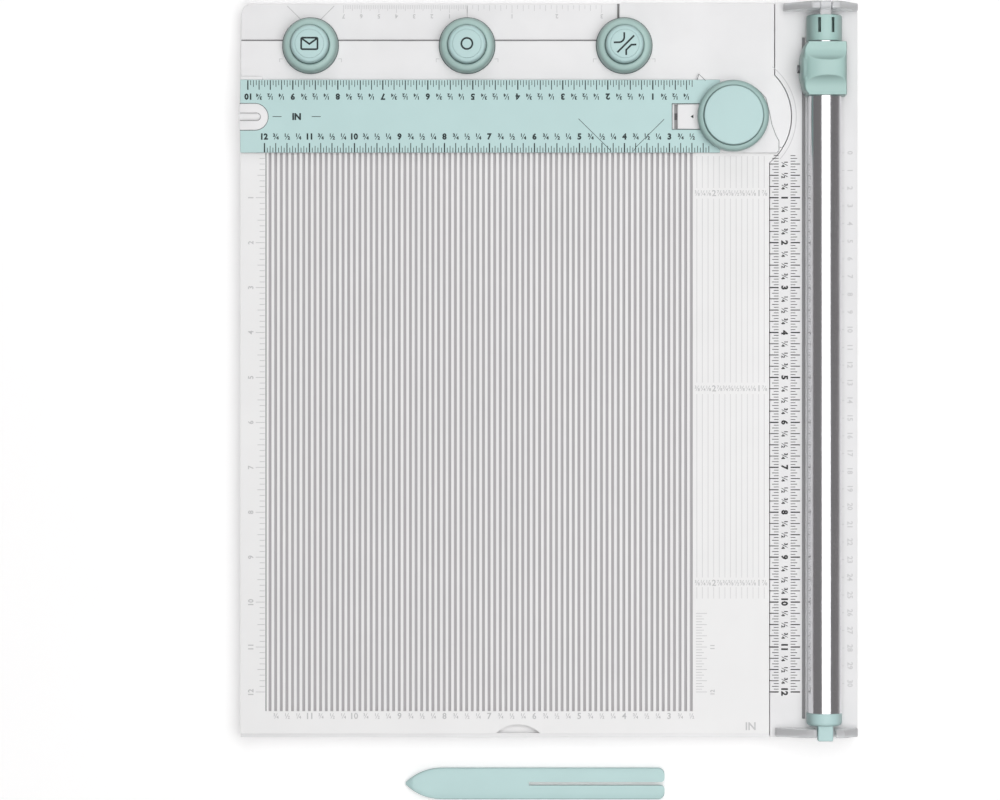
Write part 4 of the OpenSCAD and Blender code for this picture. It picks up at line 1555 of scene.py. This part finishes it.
@dataclass
class Latch:
    """Sliding lock in the arm's window, with its arrow, a dark plate of painted shadow in the well beside it and a
    black block.
    """

    def build(self) -> None:
        """Makes and dresses the lock."""
        a, b = low("lock_slider"), high("lock_slider")
        slider = piece(rounded_block(a, b, 0.3), "slider_block", Palette.WHITE, "arm_lock", Edge.CRISP)
        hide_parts("lock_slider")
        arrow = np.array([[-1.0, 0.0], [0.6, 1.1], [0.6, -1.1]])
        z0, z1 = b[2] - 0.02, b[2] + 0.05
        plate = Surface(np.concatenate([np.c_[arrow, np.full(3, z0)], np.c_[arrow, np.full(3, z1)]]),
                        [np.array([[2, 1, 0], [3, 4, 5]]), np.array([[0, 1, 4, 3], [1, 2, 5, 4], [2, 0, 3, 5]])])
        piece(plate.moved((80.9, (a[1] + b[1]) / 2, 0)), "slider_arrow", Palette.MINT_INK, "arm_lock", Edge.CRISP)
        # Painted shadow: a dark plate on the floor of the well beside the slider.
        floor = 14.9
        pad = slabs(np.array([[70.8, a[1] + 0.2, floor - 0.05, 72.5, b[1] - 0.2, floor + 0.25]]))
        piece(pad, "slider_well", Palette.PAINTED_SHADOW_STRIP, "arm", Edge.CRISP)
        mid = (a[1] + b[1]) / 2
        catch = slabs(np.array([[70.85, mid - 1.9, floor + 0.2, 72.45, mid + 1.9, a[2] - 0.03]]))
        piece(catch, "slider_catch", Palette.RUNNER, "arm", Edge.CRISP)


# ---------------------------------------------------------------- trimmer

def tube_section(radius: float, floor: float, count: int = 73) -> np.ndarray:
    """Open contour of the rail, from its lower left to its lower right.

    A circle from the lower left over the top to 36 degrees past the crest, then a straight facet down to the side.

    Args:
        radius: Radius of the circle.
        floor: Depth of the flat underside below the circle's centre.
        count: Number of points.

    Returns:
        Rows of x and z from the circle's centre.
    """
    start = 180 + math.degrees(math.asin(floor / radius))
    facet = math.radians(54)
    fall = radius * (1 - math.cos(facet)) / math.sin(facet)
    knee = (radius * math.cos(facet), radius * math.sin(facet))
    side_z = knee[1] - fall * math.cos(facet)
    round_off = arc((radius - 0.15, side_z - 0.05), 0.15, 40, 0, 6)
    return np.concatenate([arc((0, 0), radius, start, 54, count - 8), round_off, [[radius, 0], [radius, -floor]]])


@dataclass
class Rail:
    """Trimmer rail: drawn tube, plastic end caps and the strip that holds the paper."""

    drop: float = 2.2
    wall: float = 1.3

    @property
    def axis(self) -> np.ndarray:
        """A point of the rail's axis."""
        a, b = low("rail"), high("rail")
        return np.array([(a[0] + b[0]) / 2, 0, b[2] - (b[0] - a[0]) / 2])

    def swept(self, outer: np.ndarray, inner: np.ndarray, stations: Sequence[float]) -> Surface:
        """A wall between two open contours, carried straight along Y.

        Args:
            outer: Rows of x and z of the outer contour.
            inner: Rows of x and z of the inner one, with as many points.
            stations: Places along Y.

        Returns:
            The closed wall.
        """
        y = np.asarray(stations, float)[:, None]

        def grid(line: np.ndarray) -> np.ndarray:
            """Points of one contour at every station.

            Args:
                line: Rows of x and z.

            Returns:
                Grid of points: stations by contour points.
            """
            x, z = self.axis[0] + line[None, :, 0], self.axis[2] + line[None, :, 1]
            return np.stack(np.broadcast_arrays(x, y, z), -1)

        return sleeve(grid(outer), grid(inner))

    def tube(self) -> Surface:
        """The rail's tube with its flat floor left open between the edges of the strip.

        Returns:
            The closed surface.
        """
        radius = (high("rail")[0] - low("rail")[0]) / 2
        outer = tube_section(radius, self.drop)
        inner = tube_section(radius - self.wall, self.drop - 0.05)
        stations = np.linspace(low("rail")[1], high("rail")[1], 25)
        return self.swept(outer, inner, stations)

    def floor(self) -> Surface:
        """Flat underside of the tube."""
        a, b = low("rail"), high("rail")
        return rounded_block((a[0] + 0.6, a[1] + 0.02, a[2]), (b[0] - 0.2, b[1] - 0.02, a[2] + self.wall), 0.2, 3)

    def end_cap(self, y0: float, y1: float, round_y: float, radius: float) -> Surface:
        """Solid cap with the rail's contour and a rounded far edge.

        Args:
            y0: Face against the rail.
            y1: Far face.
            round_y: Radius of the far edge.
            radius: Radius of the cap.

        Returns:
            The closed cap: contours shrink along a quarter circle towards the far face.
        """
        turn = np.linspace(0, np.pi / 2, 7)
        way = np.sign(y1 - y0)
        stations = np.concatenate([[y0, y0 + way * 0.3], y1 - way * round_y * (1 - np.sin(turn))])
        inset = np.concatenate([[0.25, 0], round_y * (1 - np.cos(turn))])
        angle = np.linspace(180 + 17, -17, 61)
        ring = np.stack([np.cos(np.radians(angle)), np.sin(np.radians(angle))], 1)
        size = (radius - inset)[:, None]
        x = self.axis[0] + size * ring[None, :, 0]
        z = self.axis[2] + np.maximum(size * ring[None, :, 1], -3.0 + inset[:, None])
        return loft(np.stack(np.broadcast_arrays(x, stations[:, None], z), -1))

    def build(self) -> None:
        """Makes and dresses the rail."""
        tube = piece(self.tube(), "rail_tube", Palette.RAIL, "rail_unit", Edge.CRISP)
        piece(self.floor(), "rail_floor", Palette.RAIL, "rail_unit", Edge.CRISP)
        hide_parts("rail")
        softened("rail_strip", Palette.CLEAR, 0.25)
        self.build_rear()
        self.build_front()
        painted(Palette.STEEL, "cap_screws")

    def build_rear(self) -> None:
        """Rear cap with its two slots and the tongue that turns on the hinge pin."""
        a, b = low("rear_cap"), high("rear_cap")
        radius = (b[0] - a[0]) / 2
        join, far = high("rail")[1], 199.8
        pin = middle("hinge_pin")
        tongue_x = (152.1, 158.1)
        tongue = Surface.joined([
            rounded_block((tongue_x[0], far - 2, pin[2] - 2.6), (tongue_x[1], pin[1] + 0.6, pin[2] + 0.6), 0.5),
            self.knuckle(tongue_x, pin)])
        # The rear cap takes a darker copy of the mint: painted shade.
        cap = piece(self.end_cap(join, far, 1.2, radius), "rail_rear_cap", Palette.SHADED_MINT_MID, "rail_unit", Edge.CRISP)
        for x in (151.6, 159.2):
            carved(cap, slabs(np.array([[x - 0.8, 189.5, 20.0, x + 0.8, 197.9, 40]])))
        piece(tongue, "rail_rear_tongue", Palette.CLEAR, "rail_unit", Edge.CRISP)
        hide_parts("rear_cap")
        pin_part = piece(self.pin(), "hinge_rod", Palette.STEEL, body_of("hinge_pin"))
        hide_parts("hinge_pin")

    def knuckle(self, span_x: Point, pin: np.ndarray) -> Surface:
        """Ring about the pin: a circle and its bore carried along X.

        Args:
            span_x: Its two ends along X.
            pin: Centre of the pin.

        Returns:
            The closed ring.
        """
        angle = np.linspace(0, 2 * np.pi, 40, endpoint=False)
        ring = np.stack([np.cos(angle), np.sin(angle)], 1)
        profile = np.array([[span_x[0], 1.4], [span_x[0], 2.4], [span_x[0] + 0.2, 2.6], [span_x[1] - 0.2, 2.6],
                            [span_x[1], 2.4], [span_x[1], 1.4]])
        x = np.broadcast_to(profile[None, :, 0], (40, len(profile)))
        y, z = (profile[None, :, 1] * ring[:, k, None] for k in (0, 1))
        points = np.stack([x, pin[1] + y, pin[2] + z], -1)
        return Surface(points.reshape(-1, 3), [lattice(40, len(profile), True, True)])

    def pin(self) -> Surface:
        """Hinge rod with small chamfers, turned about X.

        Returns:
            The closed surface.
        """
        a, b = low("hinge_pin"), high("hinge_pin")
        r = (b[1] - a[1]) / 2
        angle = np.linspace(0, 2 * np.pi, 32, endpoint=False)
        along = np.array([a[0], a[0] + 0.3, b[0] - 0.3, b[0]])[:, None]
        size = np.array([r - 0.3, r, r, r - 0.3])[:, None]
        mid = middle("hinge_pin")
        rings = np.stack([np.broadcast_to(along, (4, 32)), mid[1] + size * np.cos(angle),
                          mid[2] + size * np.sin(angle)], -1)
        return loft(rings)

    def build_front(self) -> None:
        """Front cap with the finger tongue that drops between the clear posts."""
        a, b = low("front_cap"), high("front_cap")
        radius = (b[0] - a[0]) / 2
        join = low("rail")[1]
        cap = piece(self.end_cap(join, -200.4, 2.2, radius), "rail_front_cap", Palette.MINT, "rail_unit", Edge.CRISP)
        tongue = rounded_block((150.9, a[1], 20.0), (159.6, -197.0, 26.0), 0.8)
        piece(tongue, "rail_front_tongue", Palette.MINT, "rail_unit", Edge.CRISP)
        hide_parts("front_cap")


@dataclass
class Carriage:
    """Cutting carriage: saddle with two finger dishes, liner, blade guard, axle and blade."""

    bulge: float = 3.1
    dish_r: float = 9.0
    dish_y: float = 11.9
    dish_z: float = 39.2
    edge: float = 0.7
    guard_r: float = 10.4

    @property
    def mid(self) -> np.ndarray:
        """Centre of the saddle."""
        return middle("carriage_shell")

    def saddle(self) -> Surface:
        """Saddle wall.

        Over the rail the outside has the height H(x) = crown - 2.1 (x / 10)^2, taken down to the upright sides by the
        factor (1 - |x / a|^9)^(1/4). On the blade's side the half width a grows along the rail like half an ellipse,
        to house the blade. Where a finger dish, a cylinder across the rail, lies lower, the surface takes the dish's
        height instead. The inside follows the rail's circle.

        Returns:
            The closed surface.
        """
        a, b = low("carriage_shell"), high("carriage_shell")
        half_x, half_y = (b[0] - a[0]) / 2, (b[1] - a[1]) / 2
        base_z = 21.0
        turn = np.linspace(0, np.pi / 2, 6)
        ends = half_y - self.edge * (1 - np.sin(turn))
        v = np.concatenate([-ends[::-1], np.linspace(-ends[0], ends[0], 91)[1:-1], ends])[:, None]
        inset = np.concatenate([(1 - np.cos(turn))[::-1], np.zeros(89), 1 - np.cos(turn)])[:, None] * self.edge
        t = np.linspace(np.pi, 0, 81)[None, :]
        bulge = self.bulge * np.sqrt(np.clip(1 - (v / (half_y - 1.2)) ** 2, 0, 1))
        share = np.sign(np.cos(t)) * np.abs(np.cos(t)) ** 0.5
        x = share * (half_x - inset + np.where(share < 0, bulge, 0))
        fall = (1 - np.abs(share) ** 9) ** 0.25
        z = base_z + (b[2] - base_z - inset - 2.1 * (np.minimum(np.abs(x), half_x) / 10) ** 2) * fall
        d = np.clip(np.abs(np.abs(v) - self.dish_y), 0, self.dish_r * 0.98)
        dish = self.dish_z - np.sqrt(self.dish_r ** 2 - d ** 2) - inset
        soft = 0.16
        z = -soft * np.logaddexp(-z / soft, -dish / soft)
        low_left, low_right = 17.3, a[2]
        left_z = np.linspace(low_left, base_z, 6)[None, :-1]
        left = np.stack(np.broadcast_arrays(-(half_x - inset + bulge), v, left_z), -1)
        right = np.stack(np.broadcast_arrays(half_x - inset, v, np.linspace(base_z, low_right, 7)[None, 1:]), -1)
        arch = np.stack(np.broadcast_arrays(x, v, z), -1)
        outer = np.concatenate([left, arch, right], 1) + (self.mid[0], self.mid[1], 0)
        return sleeve(outer, self._bore(outer, low_left, low_right))

    def _bore(self, outer: np.ndarray, low_left: float, low_right: float) -> np.ndarray:
        """Inside of the saddle, point for point with its outside: the rail's circle, then straight down the sides.

        Args:
            outer: Grid of the outside.
            low_left: Height of its lower left edge.
            low_right: Height of its lower right edge.

        Returns:
            Grid of the inside, with the same shape.
        """
        centre_x = (low("rail")[0] + high("rail")[0]) / 2
        centre_z = high("rail")[2] - (high("rail")[0] - low("rail")[0]) / 2
        before, after, r = 5, 6, 9.95
        angle = np.radians(np.linspace(180, 0, outer.shape[1] - before - after))
        x = np.concatenate([np.full(before, -r), r * np.cos(angle), np.full(after, r)])
        z = np.concatenate([np.linspace(low_left - centre_z, -0.3, before), r * np.sin(angle),
                            np.linspace(-0.3, low_right - centre_z, after)])
        grid = np.empty_like(outer)
        grid[..., 0] = centre_x + x
        grid[..., 1] = outer[..., 1]
        grid[..., 2] = centre_z + z
        return grid

    def guard(self) -> Surface:
        """Domed blade guard, turned about the blade's axle and cut off flat underneath.

        Returns:
            The closed surface.
        """
        a, b = low("blade_guard"), high("blade_guard")
        axle = middle("blade_disc")
        r = self.guard_r
        angle = np.linspace(0, 2 * np.pi, 96, endpoint=False)[:, None]
        span = np.linspace(0.12, 1, 14)
        dome = np.stack([b[0] - (b[0] - a[0]) * (1 - span ** 5) ** 0.5, r * span], 1)
        inside = np.array([[b[0], r - 1.0], [b[0] - 1.1, r - 1.1], [b[0] - 1.1, r * 0.12]])
        profile = np.concatenate([dome, inside])
        x = np.broadcast_to(profile[None, :, 0], (96, len(profile)))
        y = axle[1] + profile[None, :, 1] * np.cos(angle)
        z = np.maximum(axle[2] + profile[None, :, 1] * np.sin(angle), a[2])
        return Surface(np.stack([x, y, z], -1).reshape(-1, 3), [lattice(96, len(profile), True, True)])

    def liner(self) -> Surface:
        """Low-friction liner: a half ring carried along the rail.

        Returns:
            The closed surface.
        """
        a, b = low("carriage_runner"), high("carriage_runner")
        rail = Rail()
        angle = np.radians(np.linspace(160, 20, 41))
        ring = np.stack([np.cos(angle), np.sin(angle)], 1)
        return rail.swept(ring * 9.9, ring * 9.32, (a[1], a[1] + 0.2, b[1] - 0.2, b[1]))

    def build(self) -> None:
        """Makes and dresses the carriage."""
        # Saddle and guard take darker copies of the mint: painted shade.
        saddle = piece(self.saddle(), "saddle", Palette.SHADED_MINT_MID, "carriage", Edge.CRISP)
        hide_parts("carriage_shell")
        guard = piece(self.guard(), "blade_cover", Palette.MINT_SHADE, "carriage", Edge.CRISP)
        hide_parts("blade_guard")
        liner = piece(self.liner(), "rail_liner", Palette.RUNNER, "carriage", Edge.CRISP)
        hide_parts("carriage_runner")
        painted(Palette.STEEL, "blade_disc")
        # The axle takes a darker copy of the steel: painted shade.
        painted(Palette.SHADED_AXLE_STEEL, "blade_axle")


@dataclass
class ClearPosts:
    """Clear uprights that hold the rail's ends."""

    edge: float = 0.5

    def build(self) -> None:
        """Rounds the posts' edges and makes them clear."""
        for node in ("rear_bracket", "front_bracket_left", "front_bracket_right"):
            softened(node, Palette.CLEAR, self.edge)


# ---------------------------------------------------------------- loose tool

@dataclass
class ScoringTool:
    """Loose scoring tool: pointed blade of rounded section that splits into two prongs."""

    prong_r: float = 3.5
    tip: float = 23.6
    slot: float = 2.0
    slot_x: float = -11.3
    power: float = 3.4

    def body(self) -> Surface:
        """Sections along X, each the superellipse |y/w|^n + |z/h|^n = 1 with the width w of an ogive at the tip.

        Returns:
            The closed surface.
        """
        a, b = low("scoring_tool"), high("scoring_tool")
        width, thick = (b[1] - a[1]) / 2, (b[2] - a[2]) / 2
        x = np.concatenate([a[0] + self.tip * np.linspace(0.0, 1, 26)[1:] ** 1.4,
                            np.linspace(a[0] + self.tip, b[0] - self.prong_r, 40)[1:],
                            b[0] - self.prong_r * (1 - np.sin(np.linspace(0, np.pi / 2, 12)[1:]))])
        from_tip = np.clip((x - a[0]) / self.tip, 0, 1)
        w = 0.4 + (width - 0.4) * (1 - (1 - from_tip) ** 2.6)
        into = np.clip(x - (b[0] - self.prong_r), 0, self.prong_r)
        w = w - (self.prong_r - np.sqrt(np.maximum(self.prong_r ** 2 - into ** 2, 0)))
        h = thick * np.clip(0.35 + w / 6, 0, 1)
        t = np.linspace(0, 2 * np.pi, 56, endpoint=False)[None, :]
        power = 2 / self.power
        y = w[:, None] * np.sign(np.cos(t)) * np.abs(np.cos(t)) ** power
        z = h[:, None] * (1 + np.sign(np.sin(t)) * np.abs(np.sin(t)) ** power)
        mid_y = (a[1] + b[1]) / 2
        return loft(np.stack(np.broadcast_arrays(x[:, None], mid_y + y, a[2] + z), -1))

    def gap(self) -> Surface:
        """Space between the prongs, flaring at its mouth along a quarter circle.

        Returns:
            The closed surface.
        """
        a, b = low("scoring_tool"), high("scoring_tool")
        mouth = 2.0
        into = np.linspace(0, np.pi / 2, 9)
        x = np.concatenate([[self.slot_x], np.linspace(self.slot_x + 1, b[0] - mouth, 12),
                            b[0] - mouth * (1 - np.sin(into[1:])), [b[0] + 1]])
        half = np.concatenate([np.full(13, self.slot / 2), self.slot / 2 + mouth * (1 - np.cos(into[1:])),
                               [self.slot / 2 + mouth]])
        mid_y = (a[1] + b[1]) / 2
        side = np.array([[-1, -1], [1, -1], [1, 1], [-1, 1]])
        rings = np.stack([np.broadcast_to(x[:, None], (len(x), 4)), mid_y + half[:, None] * side[:, 0],
                          np.broadcast_to(2 + 4 * side[:, 1], (len(x), 4))], -1)
        return loft(rings)

    def build(self) -> None:
        """Makes and dresses the tool."""
        tool = piece(self.body(), "scoring_blade", Palette.MINT, "tool", Edge.SMOOTH)
        carved(tool, self.gap())
        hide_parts("scoring_tool")


# ---------------------------------------------------------------- studio

@dataclass
class Studio:
    """Plain floor, soft light from above and the camera."""

    camera_x: float = -27.7
    camera_y: float = -17.0
    camera_z: float = 1900.0
    focal: float = 120.1
    floor_half: float = 6.0

    def camera(self) -> None:
        """Puts the camera straight above the board."""
        data = bpy.data.cameras.new("view")
        data.lens = self.focal
        data.sensor_width = 36.0
        data.clip_end = 50.0
        item = bpy.data.objects.new("view", data)
        item.location = (self.camera_x * MM, self.camera_y * MM, self.camera_z * MM)
        bpy.context.scene.collection.objects.link(item)
        bpy.context.scene.camera = item

    def floor(self) -> None:
        """Lays a pale matt floor."""
        half = self.floor_half
        mesh = bpy.data.meshes.new("floor")
        mesh.from_pydata([(-half, -half, 0), (half, -half, 0), (half, half, 0), (-half, half, 0)], [], [(0, 1, 2, 3)])
        recipe = Recipe("floor_paper")
        tone = recipe.ramp(recipe.noise(400, 3), 0, 1)
        colour = recipe.blend(tone, (0.93, 0.93, 0.93, 1), (0.95, 0.95, 0.95, 1))
        recipe.link(colour, recipe.shader.inputs["Base Color"])
        recipe.shader.inputs["Roughness"].default_value = 0.9
        recipe.shader.inputs["Specular IOR Level"].default_value = 0.1
        recipe.shader.inputs["Emission Color"].default_value = (1.0, 1.0, 1.0, 1.0)
        recipe.shader.inputs["Emission Strength"].default_value = 0.15
        mesh.materials.append(recipe.material)
        item = bpy.data.objects.new("floor", mesh)
        bpy.context.scene.collection.objects.link(item)

    def lamp(self, name: str, place: Place, aim: Place, size: Point, watts: float) -> None:
        """Hangs a soft box.

        Args:
            name: Name of the lamp.
            place: Centre of the box in metres.
            aim: Point that it faces.
            size: Width and height in metres.
            watts: Power.
        """
        data = bpy.data.lights.new(name, "AREA")
        data.shape = "RECTANGLE"
        data.size, data.size_y = size
        data.energy = watts
        item = bpy.data.objects.new(name, data)
        item.location = place
        way = Vector(aim) - Vector(place)
        item.rotation_euler = way.to_track_quat("-Z", "Y").to_euler()
        bpy.context.scene.collection.objects.link(item)

    def world(self) -> None:
        """Even surroundings: light above, greyer towards the horizon."""
        world = bpy.data.worlds.new("surroundings")
        bpy.context.scene.world = world
        world.use_nodes = True
        tree = world.node_tree
        way = tree.nodes.new("ShaderNodeTexCoord")
        split = tree.nodes.new("ShaderNodeSeparateXYZ")
        ramp = tree.nodes.new("ShaderNodeValToRGB")
        tree.links.new(way.outputs["Generated"], split.inputs["Vector"])
        tree.links.new(split.outputs["Z"], ramp.inputs["Fac"])
        tree.links.new(ramp.outputs["Color"], tree.nodes["Background"].inputs["Color"])
        ramp.color_ramp.elements[0].position = 0.0
        ramp.color_ramp.elements[0].color = (0.2, 0.19, 0.192, 1)
        ramp.color_ramp.elements[1].position = 0.75
        ramp.color_ramp.elements[1].color = (0.2, 0.195, 0.195, 1)
        tree.nodes["Background"].inputs["Strength"].default_value = 1.0

    def build(self) -> None:
        """Sets up the studio."""
        self.camera()
        self.floor()
        self.world()
        self.lamp("overhead", (0.48, 0.05, 2.2), (0.1, 0, 0), (3.0, 2.4), 48.5)
        self.lamp("rear_fill", (-0.3, 2.9, 1.6), (0, 0, 0), (1.6, 1.2), 16)
        self.lamp("front_fill", (-0.3, -2.9, 1.6), (0, 0, 0), (1.6, 1.2), 12)
        bpy.context.scene.view_settings.view_transform = "Standard"


def main() -> None:
    """Builds the board piece by piece."""
    logging.basicConfig(level=logging.INFO, format="%(name)s: %(message)s")
    Studio().build()
    Housing().build()
    PanelMarks().build()
    BedScale().build()
    for number, icon in enumerate(Icon, start=1):
        Punch(number, icon).build()
    RulerArm().build()
    Knob().build()
    Latch().build()
    Rail().build()
    Carriage().build()
    ClearPosts().build()
    ScoringTool().build()


if __name__ == "__main__":
    main()
